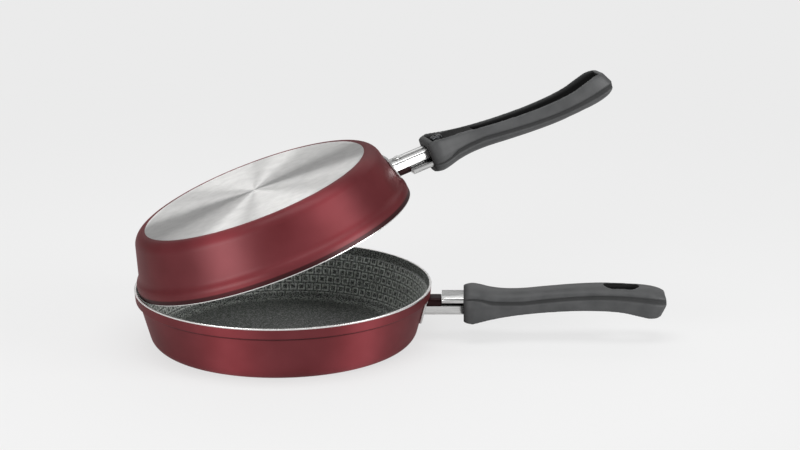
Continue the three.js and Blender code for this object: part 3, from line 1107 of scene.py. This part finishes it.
@dataclass(frozen=True)
class Bracket:
    """Steel bracket: a channel rail against the wall, a cover strip above it, and the lug between them."""

    sizes: HandleSizes
    edge_rounding: float = 0.25 * MM
    bend_steps: int = 5
    flange_steps: int = 28
    lug_drop: float = 1.8 * MM
    lug_roundings: tuple[float, float] = (2.5 * MM, 0.5 * MM)
    lug_bore_radius: float = 2.5 * MM
    lug_bore_top: float = 7.3 * MM

    def channel(self, name: str, start: float, level: float, width: float, flank: float) -> Piece:
        """Bent channel with a flat tongue at its far end.

        Args:
            name: Name of the piece.
            start: Place of its end towards the pan.
            level: Height of the middle of its web.
            width: Width outside.
            flank: How far its flanks rise from that height, negative for downwards.

        Returns:
            The channel, with its sheet's thickness.
        """
        s = self.sizes
        half = (width - s.steel) / 2
        deselect_all()
        bpy.ops.mesh.primitive_plane_add(size=2, location=(0, 0, 0))
        piece = added(name, location=((start + s.shoulder_end) / 2, 0, level),
                      scale=((s.shoulder_end - start) / 2, half, 1))
        tongue = s.tongue_width / 2
        far = s.shoulder_end - NEAR
        with editing(piece, "EDGE"):
            for side in (-tongue, tongue):
                bpy.ops.mesh.select_all(action="SELECT")
                bpy.ops.mesh.bisect(plane_co=(0, side, 0), plane_no=(0, 1, 0))
            pick(piece, Part.EDGES,
                 lambda a, b: min(a.x, b.x) > far and max(abs(a.y), abs(b.y)) < tongue + NEAR)
            bpy.ops.mesh.extrude_region_move(
                TRANSFORM_OT_translate={"value": (s.tongue_end - s.shoulder_end, 0, 0)})
            pick(piece, Part.EDGES, lambda a, b: min(abs(a.y), abs(b.y)) > half - NEAR)
            bpy.ops.mesh.extrude_region_move(TRANSFORM_OT_translate={"value": (0, 0, flank)})
            pick(piece, Part.EDGES, lambda a, b: min(abs(a.y), abs(b.y)) > half - NEAR
                 and max(abs(a.z - level), abs(b.z - level)) < NEAR)
            bpy.ops.mesh.bevel(offset=s.bend, segments=self.bend_steps, affect="EDGES", profile=0.5)
            face_outwards()
        apply_modifier(piece, "SOLIDIFY", thickness=s.steel, offset=0, use_even_offset=True)
        return piece

    def flange(self, name: str) -> Piece:
        """Curved flange that lies against the pan's wall, notched for the lug.

        Args:
            name: Name of the piece.

        Returns:
            The flange.
        """
        s = self.sizes
        middle = (s.rail_top + s.rail_bottom) / 2
        out = (s.fit + s.steel / 2) / math.cos(s.lean)
        heights = (middle - s.flange_height / 2, s.web_top, middle + s.flange_height / 2)
        half_turn = math.asin(s.flange_width / 2 / s.wall_x)
        piece = polyline(name, [(s.wall_radius(z) + out, z) for z in heights])
        inside = s.rail_width / 2 - s.steel
        with editing(piece):
            bpy.ops.mesh.select_all(action="SELECT")
            bpy.ops.transform.rotate(value=-half_turn, orient_axis="Z", center_override=(0, 0, 0))
            bpy.ops.mesh.spin(steps=self.flange_steps, angle=2 * half_turn, center=(0, 0, 0), axis=(0, 0, 1))
        with editing(piece, "FACE"):
            pick(piece, Part.FACES, lambda m, n: abs(m.y) < inside and m.z > s.web_top)
            bpy.ops.mesh.delete(type="FACE")
            face_outwards()
        apply_modifier(piece, "SOLIDIFY", thickness=s.steel, offset=0, use_even_offset=True)
        return piece

    def rail(self) -> Piece:
        """Channel rail with its flange, holes and rounded edges.

        Returns:
            The rail.
        """
        s = self.sizes
        level = s.rail_bottom + s.steel / 2
        start = s.wall_radius(s.rail_bottom) + s.fit + s.steel / 2
        piece = self.channel("rail", start, level, s.rail_width, s.rail_height - s.steel / 2)
        combine(piece, [self.flange("flange")], "UNION")
        bore = s.screw_radius + s.fit
        combine(piece, [upright_cylinder("bore", x, bore, s.rail_bottom - OVERRUN, s.web_top + OVERRUN)
                        for x in (s.screw_x, s.rivet_x)])
        soften(piece, self.edge_rounding)
        shade(piece)
        return piece

    def cover(self) -> Piece:
        """Cover strip with rounded edges.

        Returns:
            The cover strip.
        """
        s = self.sizes
        piece = self.channel("cover_strip", s.cover_start, s.cover_top - s.steel / 2, s.cover_width,
                             s.steel / 2 - s.cover_height)
        soften(piece, self.edge_rounding)
        shade(piece)
        return piece

    def lug(self) -> Piece:
        """Block welded to the wall, flared into its weld, with the rivet's hole in it.

        Returns:
            The lug.
        """
        s = self.sizes
        half = s.rail_width / 2 - s.steel - s.fit
        low, high = s.web_top + s.fit, s.cover_top - self.lug_drop
        end = s.cover_start - s.fit
        piece = block("lug", (s.wall_radius(s.centre), -half, low), (end, half, high))
        with editing(piece):
            for z in (low, high):
                pick(piece, Part.VERTICES, lambda v, z=z: v.x < s.wall_x + MM and abs(v.z - z) < NEAR)
                bpy.ops.transform.translate(value=(s.wall_radius(z) + s.fit - s.wall_radius(s.centre), 0, 0))
        top, front = self.lug_roundings
        with editing(piece, "EDGE"):
            pick(piece, Part.EDGES, lambda a, b: min(a.z, b.z) > high - NEAR and abs(a.y - b.y) < NEAR)
            bpy.ops.mesh.bevel(offset=top, segments=6, affect="EDGES", profile=0.5)
            pick(piece, Part.EDGES, lambda a, b: min(a.x, b.x) > end - NEAR)
            bpy.ops.mesh.bevel(offset=front, segments=3, affect="EDGES", profile=0.5)
        combine(piece, [upright_cylinder("bore", s.rivet_x, self.lug_bore_radius, low - OVERRUN,
                                         s.rail_bottom + self.lug_bore_top)])
        shade(piece)
        return piece


@dataclass(frozen=True)
class Fasteners:
    """Rivet, clamp screw, washer and spacer of one handle."""

    sizes: HandleSizes
    steps: int = 40
    dome_radius: float = 6 * MM
    dome_rise: float = 4.4 * MM
    dome_angle: float = math.radians(41)
    rivet_head: float = 4 * MM
    rivet_lip: float = 0.1 * MM
    rivet_radius: float = 2.2 * MM
    rivet_length: float = 7 * MM
    rivet_chamfer: float = 0.3 * MM
    # Radius and rise of the corners of the screw's head.
    head: tuple[Point, ...] = ((2.6 * MM, 0), (3.5 * MM, 0.25 * MM), (4 * MM, 0.7 * MM), (4.2 * MM, 1.2 * MM))
    head_height: float = 1.6 * MM
    screw_chamfer: float = 0.4 * MM
    cross_reach: float = 2 * MM
    cross_half_width: float = 0.45 * MM
    cross_depth: float = 1.1 * MM
    washer_radius: float = 4.8 * MM
    washer_chamfer: float = 0.12 * MM
    spacer_radius: float = 4.5 * MM
    spacer_rounding: float = 0.3 * MM

    def rivet(self) -> Piece:
        """Round-headed rivet put in from below.

        Returns:
            The rivet.
        """
        s = self.sizes
        under = s.rail_bottom - s.fit
        top, shank, chamfer = s.rail_bottom + self.rivet_length, self.rivet_radius, self.rivet_chamfer
        down = -math.pi / 2
        dome = arc((0, under + self.dome_rise), self.dome_radius, down, down + self.dome_angle, 8)
        points = [*dome, (self.rivet_head, under - self.rivet_lip), (self.rivet_head, under), (shank, under),
                  (shank, top - chamfer), (shank - chamfer, top), (0, top)]
        piece = turned("rivet", points, self.steps, s.rivet_x)
        shade(piece)
        return piece

    def screw(self) -> Piece:
        """Round-headed clamp screw with a cross recess.

        Returns:
            The screw.
        """
        s = self.sizes
        top = s.block_bottom - s.fit - s.washer - s.fit
        tip = s.cover_top - s.steel - s.fit
        low = top - self.head_height
        shank, chamfer = s.screw_radius, self.screw_chamfer
        points = [(0, low), *((radius, low + rise) for radius, rise in self.head), (self.head[-1][0], top),
                  (shank, top), (shank, tip - chamfer), (shank - chamfer, tip), (0, tip)]
        piece = turned("screw", points, self.steps, s.screw_x)
        reach, half = self.cross_reach, self.cross_half_width
        for across, along in ((reach, half), (half, reach)):
            combine(piece, [block("recess", (s.screw_x - across, -along, low - SHORT_OVERRUN),
                                  (s.screw_x + across, along, low + self.cross_depth))])
        shade(piece)
        return piece

    def washer(self) -> Piece:
        """Washer under the screw's head.

        Returns:
            The washer.
        """
        s = self.sizes
        top = s.block_bottom - s.fit
        low = top - s.washer
        bore, rim, edge = s.screw_radius + s.fit, self.washer_radius, self.washer_chamfer
        points = [(bore, low), (rim - edge, low), (rim, low + edge), (rim, top - edge), (rim - edge, top),
                  (bore, top), (bore, low)]
        piece = turned("washer", points, self.steps, s.screw_x)
        shade(piece)
        return piece

    def spacer(self) -> Piece:
        """Six-sided threaded spacer.

        Returns:
            The spacer.
        """
        s = self.sizes
        low, high = s.web_top + s.fit, s.cover_top - s.steel - s.fit
        piece = upright_cylinder("spacer", s.screw_x, self.spacer_radius, low, high, 6)
        combine(piece, [upright_cylinder("bore", s.screw_x, s.screw_radius + s.fit, low - SHORT_OVERRUN,
                                         high + SHORT_OVERRUN)])
        soften(piece, self.spacer_rounding)
        shade(piece)
        return piece


@dataclass(frozen=True)
class Grip:
    """Moulded grip: a skinned shell, open underneath, with ribs, a screw block and a hanging slot."""

    sizes: HandleSizes
    # Place along the grip, half width, half height, rise of the centreline, set-back of the tail.
    outline_shares: tuple[tuple[float, ...], ...] = (
        (0, 0.9, 0.88, 0.06, 0), (0.015, 0.96, 0.95, 0.06, 0), (0.045, 1, 1, 0.06, 0),
        (0.085, 0.94, 0.92, 0.07, 0), (0.13, 0.85, 0.81, 0.06, 0), (0.2, 0.75, 0.7, 0.08, 0),
        (0.29, 0.7, 0.64, 0.15, 0), (0.41, 0.72, 0.63, 0.28, 0), (0.55, 0.77, 0.64, 0.39, 0),
        (0.67, 0.81, 0.66, 0.42, 0), (0.78, 0.84, 0.69, 0.36, 0), (0.88, 0.84, 0.77, 0.22, 0.2),
        (0.94, 0.8, 0.8, 0.12, 0.36), (0.98, 0.7, 0.75, 0.06, 0.46), (1, 0.52, 0.66, 0.03, 0.5),
    )
    # Half of the section, across and up, from the crown to the open underside.
    section_shares: tuple[Point, ...] = (
        (0, 1), (0.3, 0.97), (0.55, 0.88), (0.75, 0.73), (0.87, 0.57), (0.93, 0.42), (0.96, 0.28),
        (0.98, 0.14), (1, 0), (1, -0.14), (1, -0.3), (1, -0.55), (0.96, -0.88), (0.88, -1),
    )
    cavity_shares: tuple[Point, ...] = ((0, 1), (0.5, 0.92), (0.85, 0.68), (1, 0.3), (1, -1))
    # Place along the grip, then the middle and half height of the groove as shares of the half height.
    groove_shares: tuple[tuple[float, float, float], ...] = (
        (0, 0.42, 0.05), (0.05, 0.42, 0.07), (0.09, 0.37, 0.1), (0.14, 0.22, 0.19), (0.29, 0.04, 0.23),
        (0.5, 0.13, 0.24), (0.68, 0.2, 0.25), (0.88, 0.24, 0.26), (1, 0.24, 0.26),
    )
    groove_depth: float = 1.1 * MM
    groove_flank: float = 1.8
    tail_rounding: float = 11.4 * MM
    stations: int = 140
    crowding: float = 0.6
    finer: int = 4
    slot_sides: int = 64
    voxel: float = 0.55 * MM
    smoothing: float = 0.5
    smoothing_passes: int = 3
    # Where the painted shade of the recesses starts and how dark it gets.
    samples: int = 401
    skin_depth: float = 1.4 * MM
    skin_fade: float = 0.6 * MM
    under_share: float = -0.6
    slot_rim: float = 0.2 * MM
    slot_rim_depth: float = 0.45 * MM
    front_painted_shade: float = 0.5
    front_reach: float = 1.3
    front_fade: float = 3 * MM
    groove_painted_shade: float = 0.6
    groove_reach: float = 1.3

    def value(self, place: float, column: int) -> float:
        """Value of a column of the outline at a place, on a smooth curve through its rows.

        Args:
            place: Share of the grip's length.
            column: Column of the outline.

        Returns:
            The value there.
        """
        rows = self.outline_shares
        last = len(rows) - 1

        def slope(i: int) -> float:
            """Slope of the curve at a row."""
            before, after = rows[max(i - 1, 0)], rows[min(i + 1, last)]
            return (after[column] - before[column]) / (after[0] - before[0])

        i = max(k for k in range(last) if place >= rows[k][0])
        span = rows[i + 1][0] - rows[i][0]
        t = (place - rows[i][0]) / span
        stay = rows[i][column] * (1 + 2 * t) * (1 - t) ** 2 + rows[i + 1][column] * t ** 2 * (3 - 2 * t)
        return stay + span * (slope(i) * t * (1 - t) ** 2 - slope(i + 1) * t ** 2 * (1 - t))

    def in_groove(self, place: float | np.ndarray, up: float | np.ndarray) -> float | np.ndarray:
        """How deep a point of the side lies in the groove.

        Args:
            place: Share of the grip's length.
            up: Height above the centreline, as a share of the half height.

        Returns:
            From 0 outside the groove to 1 on its floor.
        """
        places, middles, halves = np.transpose(self.groove_shares)
        off = np.abs(up - np.interp(place, places, middles)) / np.interp(place, places, halves)
        share = np.clip(self.groove_flank * (1 - off), 0, 1)
        return share * share * (3 - 2 * share)

    def set_back(self, share: float | np.ndarray, rise: float | np.ndarray) -> float | np.ndarray:
        """How far the tail is drawn back, straight below the centreline and rounded above it.

        Args:
            share: Set-back in the outline.
            rise: Height above the centreline.

        Returns:
            The distance along the grip, negative towards the pan.
        """
        return share * (np.minimum(rise, 0) - np.maximum(rise, 0) ** 3 / self.tail_rounding ** 2)

    def underside(self, x: float) -> float:
        """Height of the open underside.

        Args:
            x: Place along X.

        Returns:
            The height there.
        """
        s = self.sizes
        place = (x - s.grip_front) / s.grip_length
        return s.centre + s.collar_half_height * (self.value(place, 3) - self.value(place, 2))

    def closed_section(self, half: Sequence[Point]) -> list[Point]:
        """Whole section from its half, with finer steps between the given points.

        Args:
            half: Points from the crown to the underside.

        Returns:
            Points all the way round, across and up.
        """
        whole = [(-across, up) for across, up in reversed(half[1:])] + list(half)
        points = []
        for i in range(len(whole) - 1):
            p0, p1 = whole[max(i - 1, 0)], whole[i]
            p2, p3 = whole[i + 1], whole[min(i + 2, len(whole) - 1)]
            for k in range(self.finer):
                t = k / self.finer
                points.append(tuple(
                    ((2 * b) + (c - a) * t + (2 * a - 5 * b + 4 * c - d) * t * t
                     + (3 * b - a - 3 * c + d) * t ** 3) / 2
                    for a, b, c, d in zip(p0, p1, p2, p3)))
        points.append(whole[-1])
        return points

    def skin(self, name: str, half: Sequence[Point], start: float, end: float, wall: float,
             depth: float, groove: float) -> Piece:
        """Closed solid laid over the outline: a grid wrapped round it, with its ends filled.

        Args:
            name: Name of the object.
            half: Half of the section.
            start: Place along the grip where it starts.
            end: Place where it ends.
            wall: How far it is drawn in from the outline.
            depth: How far it reaches below the underside.
            groove: Depth of the groove along its sides.

        Returns:
            The solid.
        """
        s = self.sizes
        section = self.closed_section(half)
        around = len(section)
        deselect_all()
        bpy.ops.mesh.primitive_grid_add(x_subdivisions=self.stations, y_subdivisions=around, size=2)
        piece = added(name)
        for vertex in piece.data.vertices:
            share = (vertex.co.x + 1) / 2
            ring = round((vertex.co.y + 1) / 2 * around)
            place = start + (end - start) * (share - 0.5 / math.pi * math.sin(TURN * share) * self.crowding)
            across, up = section[ring % around]
            width = s.collar_half_width * self.value(place, 1) - wall
            height = s.collar_half_height * self.value(place, 2)
            rise = up * (height - wall if up > 0 else height + depth)
            level = s.centre + s.collar_half_height * self.value(place, 3) + rise
            set_back = float(self.set_back(self.value(place, 4), rise))
            across = width * across - math.copysign(groove * float(self.in_groove(place, up)), across)
            vertex.co = (s.grip_front + s.grip_length * place + set_back, across, level)
        with editing(piece):
            bpy.ops.mesh.select_all(action="SELECT")
            bpy.ops.mesh.remove_doubles(threshold=SAME)
            bpy.ops.mesh.select_all(action="DESELECT")
            bpy.ops.mesh.select_non_manifold()
            bpy.ops.mesh.edge_face_add()
            face_outwards()
        return piece

    def slot_prism(self, name: str, wall: float, low: float, shorter: float = 0) -> Piece:
        """Upright prism with the hanging slot's plan.

        Args:
            name: Name of the object.
            wall: How far it is widened.
            low: Height of its lower end.
            shorter: How far each end is drawn in.

        Returns:
            The prism.
        """
        s = self.sizes
        high = s.centre + 2 * s.collar_half_height
        piece = upright_cylinder(name, s.slot_x, s.slot_width / 2 + wall, low, high, self.slot_sides)
        with editing(piece):
            for side in (-1, 1):
                pick(piece, Part.VERTICES, lambda v, side=side: (v.x - s.slot_x) * side > SAME)
                bpy.ops.transform.translate(value=(side * (s.slot_reach - shorter), 0, 0))
        return piece

    def cavity(self) -> Piece:
        """Hollow under the skin, less the screw block, the slot's tube and the ribs.

        Returns:
            The solid that cuts it.
        """
        s = self.sizes
        piece = self.skin("cavity", self.cavity_shares, s.grip_front_wall / s.grip_length,
                          1 - s.grip_wall / s.grip_length, s.grip_wall, s.collar_half_height, 0)
        wide, high = 2 * s.collar_half_width, s.centre + 2 * s.collar_half_height
        kept = [block("screw_block", (s.grip_front - SHORT_OVERRUN, -wide, s.block_bottom),
                      (s.tongue_end + s.fit + s.block_end_wall, wide, high)),
                self.slot_prism("slot_tube", s.slot_wall, self.underside(s.slot_x) + s.rib_recess)]
        for share in s.rib_shares:
            x = s.grip_front + s.grip_length * share
            kept.append(block("rib", (x - s.rib_thickness / 2, -wide, self.underside(x) + s.rib_recess),
                              (x + s.rib_thickness / 2, wide, high)))
        combine(piece, kept)
        return piece

    def build(self) -> Piece:
        """Hollow the skin out, cut the socket, screw hole and slot, and round every edge.

        Returns:
            The grip.
        """
        s = self.sizes
        piece = self.skin("grip", self.section_shares, 0, 1, 0, 0, self.groove_depth)
        low = s.centre - 2 * s.collar_half_height
        start, end = s.grip_front - OVERRUN, s.shoulder_end + s.fit
        cover, rail, tongue = (width / 2 + s.fit for width in (s.cover_width, s.rail_width, s.tongue_width))
        combine(piece, [
            self.cavity(),
            block("cover_socket", (start, -cover, s.cover_bottom - s.fit), (end, cover, s.cover_top + s.fit)),
            block("rail_socket", (start, -rail, s.rail_bottom - s.fit), (end, rail, s.cover_top)),
            block("tongue_socket", (start, -tongue, s.rail_bottom - s.fit),
                  (s.tongue_end + s.fit, tongue, s.cover_top + s.fit)),
            upright_cylinder("screw_hole", s.screw_x, s.screw_radius + s.fit, low, s.rail_top),
            self.slot_prism("hanging_slot", 0, low),
            self.slot_prism("slot_recess", s.slot_recess_width,
                            self.underside(s.slot_x) + s.slot_recess_height,
                            s.slot_recess_width - s.slot_recess_end),
        ])
        apply_modifier(piece, "REMESH", mode="VOXEL", voxel_size=self.voxel, adaptivity=0)
        apply_modifier(piece, "SMOOTH", factor=self.smoothing, iterations=self.smoothing_passes)
        make_active(piece)
        bpy.ops.object.shade_smooth()
        self.mark_painted_shade(piece.data)
        return piece

    def mark_painted_shade(self, mesh: bpy.types.Mesh) -> None:
        """Note on every vertex how much painted shade it gets, from how far it lies in the hollow, the
        socket, the slot, the groove or at the front.

        Args:
            mesh: Mesh of the grip, in the lower pan's frame.
        """
        s = self.sizes
        spots = np.empty(3 * len(mesh.vertices))
        mesh.vertices.foreach_get("co", spots)
        x, y, z = spots.reshape(-1, 3).T
        stops = np.linspace(0, 1, self.samples)

        def column(index: int) -> np.ndarray:
            """A column of the outline at the place of every vertex."""
            return np.interp(place, stops, [self.value(stop, index) for stop in stops])

        place = np.clip((x - s.grip_front) / s.grip_length, 0, 1)
        back = self.set_back(column(4), z - s.centre - s.collar_half_height * column(3))
        place = np.clip(place - back / s.grip_length, 0, 1)
        half_width = s.collar_half_width * column(1)
        half_height = s.collar_half_height * column(2)
        up = (z - s.centre - s.collar_half_height * column(3)) / half_height
        across, rises = np.transpose(self.section_shares)
        widest = int(np.argmax(across)) + 1
        side = half_width * np.interp(-up, -rises, across) - np.abs(y)
        crown = half_height * (np.interp(np.abs(y) / half_width, across[:widest], rises[:widest]) - up)
        ends = np.minimum(place, 1 - place) * s.grip_length
        inside = np.min([side, crown, half_height * (up + 1), ends], axis=0)
        hollow = np.clip((inside - self.skin_depth) / self.skin_fade, 0, 1)
        under = (up < self.under_share) & (side > s.grip_wall) & (ends > s.grip_front_wall)
        plan = np.hypot(np.maximum(np.abs(x - s.slot_x) - s.slot_reach, 0), y)
        in_slot = ((plan < s.slot_width / 2 + s.slot_recess_width + self.slot_rim)
                   & (crown > self.slot_rim_depth) & (up > 0))
        front = np.clip(self.front_reach - ends / self.front_fade, 0, 1) * (place < 0.5)
        groove = self.in_groove(place, up) * (side < self.groove_depth * self.groove_reach)
        # Painted shade: the strongest of the hollow, underside, slot, front and groove shares.
        recess = np.max([hollow, under, in_slot, self.front_painted_shade * front, self.groove_painted_shade * groove], axis=0)
        layer = mesh.attributes.new("recess", "FLOAT", "POINT")
        layer.data.foreach_set("value", recess.astype(np.float32))


@dataclass
class Handle:
    """Everything that is fixed to one pan: bracket, lug, fasteners and grip."""

    sizes: HandleSizes
    templates: list[tuple[Piece, str, Slot, bpy.types.Material]] = field(default_factory=list)

    def model(self, finishes: Finishes) -> None:
        """Model each piece once, in the lower pan's frame.

        Args:
            finishes: Finishes of the object.
        """
        bracket, fasteners = Bracket(self.sizes), Fasteners(self.sizes)
        steel, zinc = (Slot.STEEL, finishes.steel), (Slot.ZINC_STEEL, finishes.zinc)
        self.templates = [
            (bracket.rail(), "rail", *steel), (bracket.cover(), "cover_strip", *steel),
            (bracket.lug(), "lug", Slot.LACQUER, finishes.weld), (fasteners.rivet(), "rivet", *steel),
            (fasteners.screw(), "screw", *zinc), (fasteners.washer(), "washer", *zinc),
            (fasteners.spacer(), "spacer", *zinc),
            (Grip(self.sizes).build(), "grip", Slot.BAKELITE, finishes.bakelite),
        ]

    def fit(self, body: Body, place: Matrix) -> None:
        """Fit a copy of every piece to a pan.

        Args:
            body: Body of the pan.
            place: Where the handle's own frame stands.
        """
        for template, node, slot, material in self.templates:
            piece = bpy.data.objects.new(f"{body.value}_{node}_made", template.data.copy())
            bpy.context.scene.collection.objects.link(piece)
            piece.data.materials.clear()
            piece.data.materials.append(material)
            finish_piece(piece, body, place, [f"{body.value}_{node}"])

    def clear(self) -> None:
        """Delete the templates."""
        for template, *_ in self.templates:
            bpy.data.objects.remove(template)


# Studio


@dataclass(frozen=True)
class PhotoCamera:
    """Camera fitted to the photograph."""

    elevation: float = math.radians(15.55)
    turn: float = math.radians(-1.7)
    roll: float = math.radians(-0.5)
    distance: float = 1.723
    lens: float = 110.43
    sensor: float = 36
    photo_size: tuple[int, int] = (800, 450)
    rim_pixel: tuple[float, float] = (283.2, 283.3)
    rim_height: float = 40 * MM
    clip: tuple[float, float] = (0.05, 50)

    def build(self) -> None:
        """Place the camera and make it the scene's."""
        ahead = Vector((0, math.cos(self.elevation), -math.sin(self.elevation)))
        right = Vector((1, 0, 0))
        over = right.cross(ahead)
        side = right * math.cos(self.roll) + over * math.sin(self.roll)
        up = over * math.cos(self.roll) - right * math.sin(self.roll)
        focal = self.lens / self.sensor * self.photo_size[0]
        off = [(pixel - size / 2) / focal for pixel, size in zip(self.rim_pixel, self.photo_size)]
        sight = Vector((*off, 1)).normalized() * self.distance
        centre = -(side * sight.x - up * sight.y + ahead * sight.z)
        data = bpy.data.cameras.new("photo_camera")
        data.lens, data.sensor_width = self.lens, self.sensor
        data.clip_start, data.clip_end = self.clip
        camera = bpy.data.objects.new("photo_camera", data)
        bpy.context.scene.collection.objects.link(camera)
        axes = Matrix((side, up, -ahead)).transposed().to_4x4()
        turn = Matrix.Rotation(-self.turn, 4, "Z")
        rim = Matrix.Translation((0, 0, self.rim_height))
        camera.matrix_world = rim @ turn @ Matrix.Translation(centre) @ axes
        bpy.context.scene.camera = camera


@dataclass(frozen=True)
class Lamp:
    """Rectangular soft lamp that looks at a point."""

    name: str
    place: tuple[float, float, float]
    size: tuple[float, float]
    power: float
    aim: tuple[float, float, float] = (0.03, 0, 0.06)

    def build(self) -> None:
        """Place the lamp."""
        data = bpy.data.lights.new(self.name, "AREA")
        data.shape, data.energy = "RECTANGLE", self.power
        data.size, data.size_y = self.size
        lamp = bpy.data.objects.new(self.name, data)
        bpy.context.scene.collection.objects.link(lamp)
        lamp.location = self.place
        lamp.rotation_euler = (Vector(self.aim) - Vector(self.place)).to_track_quat("-Z", "Y").to_euler()


@dataclass(frozen=True)
class Studio:
    """Plain pale floor, even sky and soft lamps."""

    background: float = 0.83
    floor_glow: float = 0.94
    floor_colour: float = 0.65
    sky: float = 0.32
    glossy_sky: float = 0.34
    glow: float = 0.7
    glossy_glow: float = 0.36
    floor_size: float = 12
    floor_drop: float = 0.2 * MM
    even_range: tuple[float, float] = (0.3, 0.85)
    lamps: tuple[Lamp, ...] = (
        Lamp("left_softbox", (-1.02, -1.26, 0.4), (1.0, 0.78), 21.5),
        Lamp("right_softbox", (1.56, -0.66, 0.4), (1.0, 0.78), 23),
        Lamp("top_softbox", (0, -0.2, 1.7), (1.5, 0.8), 14),
        Lamp("back_softbox", (0.1, 1.9, 1.42), (3.4, 1.3), 12.5),
    )

    def build(self) -> None:
        """Make the floor, sky and lamps."""
        self.floor()
        self.world()
        for lamp in self.lamps:
            lamp.build()
        bpy.context.scene.view_settings.view_transform = "Standard"
        PhotoCamera().build()

    def floor(self) -> None:
        """Make the floor: plain under a soft shadow near the object, and the sky's colour farther off."""
        deselect_all()
        bpy.ops.mesh.primitive_plane_add(size=self.floor_size, location=(0, 0, -self.floor_drop))
        piece = added("studio_floor")
        material = bpy.data.materials.new("pale_floor")
        material.use_nodes = True
        graph = Graph(material.node_tree)
        path = graph.add("ShaderNodeLightPath", {}).outputs
        camera, glossy = path["Is Camera Ray"], path["Is Glossy Ray"]
        paint = graph.add("ShaderNodeBsdfDiffuse", {"Color": grey(self.floor_colour)}).outputs["BSDF"]
        glow, plain = (graph.add("ShaderNodeEmission", {"Color": grey(value)}).outputs["Emission"]
                       for value in (self.floor_glow, self.background))
        seen = graph.maths("MAXIMUM", graph.product(camera, self.glow),
                           graph.product(glossy, self.glossy_glow))
        place = graph.add("ShaderNodeTexCoord", {}).outputs["Object"]
        away = graph.add("ShaderNodeVectorMath", {0: place}, operation="LENGTH").outputs["Value"]
        far = graph.product(graph.spread(away, 0, 1, *self.even_range), camera)
        shader = graph.cover(far, graph.cover(seen, paint, glow), plain)
        graph.add("ShaderNodeOutputMaterial", {"Surface": shader})
        piece.data.materials.append(material)

    def world(self) -> None:
        """Make an even sky that shows the camera and the metal a colour of its own."""
        world = bpy.data.worlds.new("even_sky")
        world.use_nodes = True
        graph = Graph(world.node_tree)
        path = graph.add("ShaderNodeLightPath", {}).outputs
        sky, glossy_sky, background = (
            graph.add("ShaderNodeBackground", {"Color": grey(1), "Strength": strength}).outputs["Background"]
            for strength in (self.sky, self.glossy_sky, self.background))
        shader = graph.cover(path["Is Glossy Ray"], sky, glossy_sky)
        shader = graph.cover(path["Is Camera Ray"], shader, background)
        graph.add("ShaderNodeOutputWorld", {"Surface": shader})
        bpy.context.scene.world = world


@dataclass(frozen=True)
class Arrangement:
    """How the upper pan lies on the lower one, turned over and tipped open."""

    open_angle: float = math.radians(19.4)
    tip_turn: float = math.radians(4)
    handle_turn: float = math.radians(12.4)
    axis_outset: float = 4.3 * MM
    axis_drop: float = 3.6 * MM
    nest_clearance: float = 0.7 * MM
    fit: float = 0.3 * MM
    rim_radius: float = 104 * MM
    bracket_height: float = 25.9 * MM

    def pans(self) -> tuple[PanSizes, PanSizes]:
        """Sizes of both pans; the upper one's step and rim look softer.

        Returns:
            Sizes of the lower and of the upper pan.
        """
        lower = PanSizes(self.rim_radius)
        return lower, PanSizes(lower.band_inner_radius - self.nest_clearance, step_slope=2 * MM,
                               step_roundings=(8 * MM, 6.4 * MM), bare_edge=0.7 * MM)

    def upper_place(self, lower: PanSizes) -> Matrix:
        """Where the upper pan's own frame stands.

        Args:
            lower: Sizes of the lower pan.

        Returns:
            The matrix of that frame.
        """
        axis = Vector((-(lower.rim_radius + self.axis_outset), 0, lower.height - self.axis_drop))
        seat = Vector((0, 0, lower.ledge + self.fit + lower.height)) - axis
        return (Matrix.Rotation(self.tip_turn, 4, "Z") @ Matrix.Translation(axis)
                @ Matrix.Rotation(-self.open_angle, 4, "Y") @ Matrix.Translation(seat)
                @ Matrix.Rotation(self.handle_turn, 4, "Z") @ Matrix.Rotation(math.pi, 4, "X"))


def main() -> None:
    """Build the finishes, pans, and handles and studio."""
    logging.basicConfig(level=logging.INFO, format="%(message)s")
    arrangement = Arrangement()
    lower, upper = arrangement.pans()
    finishes = Finishes.build(lower)
    lower_place, upper_place = Matrix.Identity(4), arrangement.upper_place(lower)
    Pan(Body.LOWER, lower, lower_place).build(finishes)
    Pan(Body.UPPER, upper, upper_place).build(finishes)
    handle = Handle(HandleSizes(lower.outer_radius(arrangement.bracket_height)))
    handle.model(finishes)
    handle.fit(Body.LOWER, lower_place)
    shift = Matrix.Translation((upper.rim_radius - lower.rim_radius, 0, 0))
    handle.fit(Body.UPPER, upper_place @ shift)
    handle.clear()
    Studio().build()


if __name__ == "__main__":
    main()
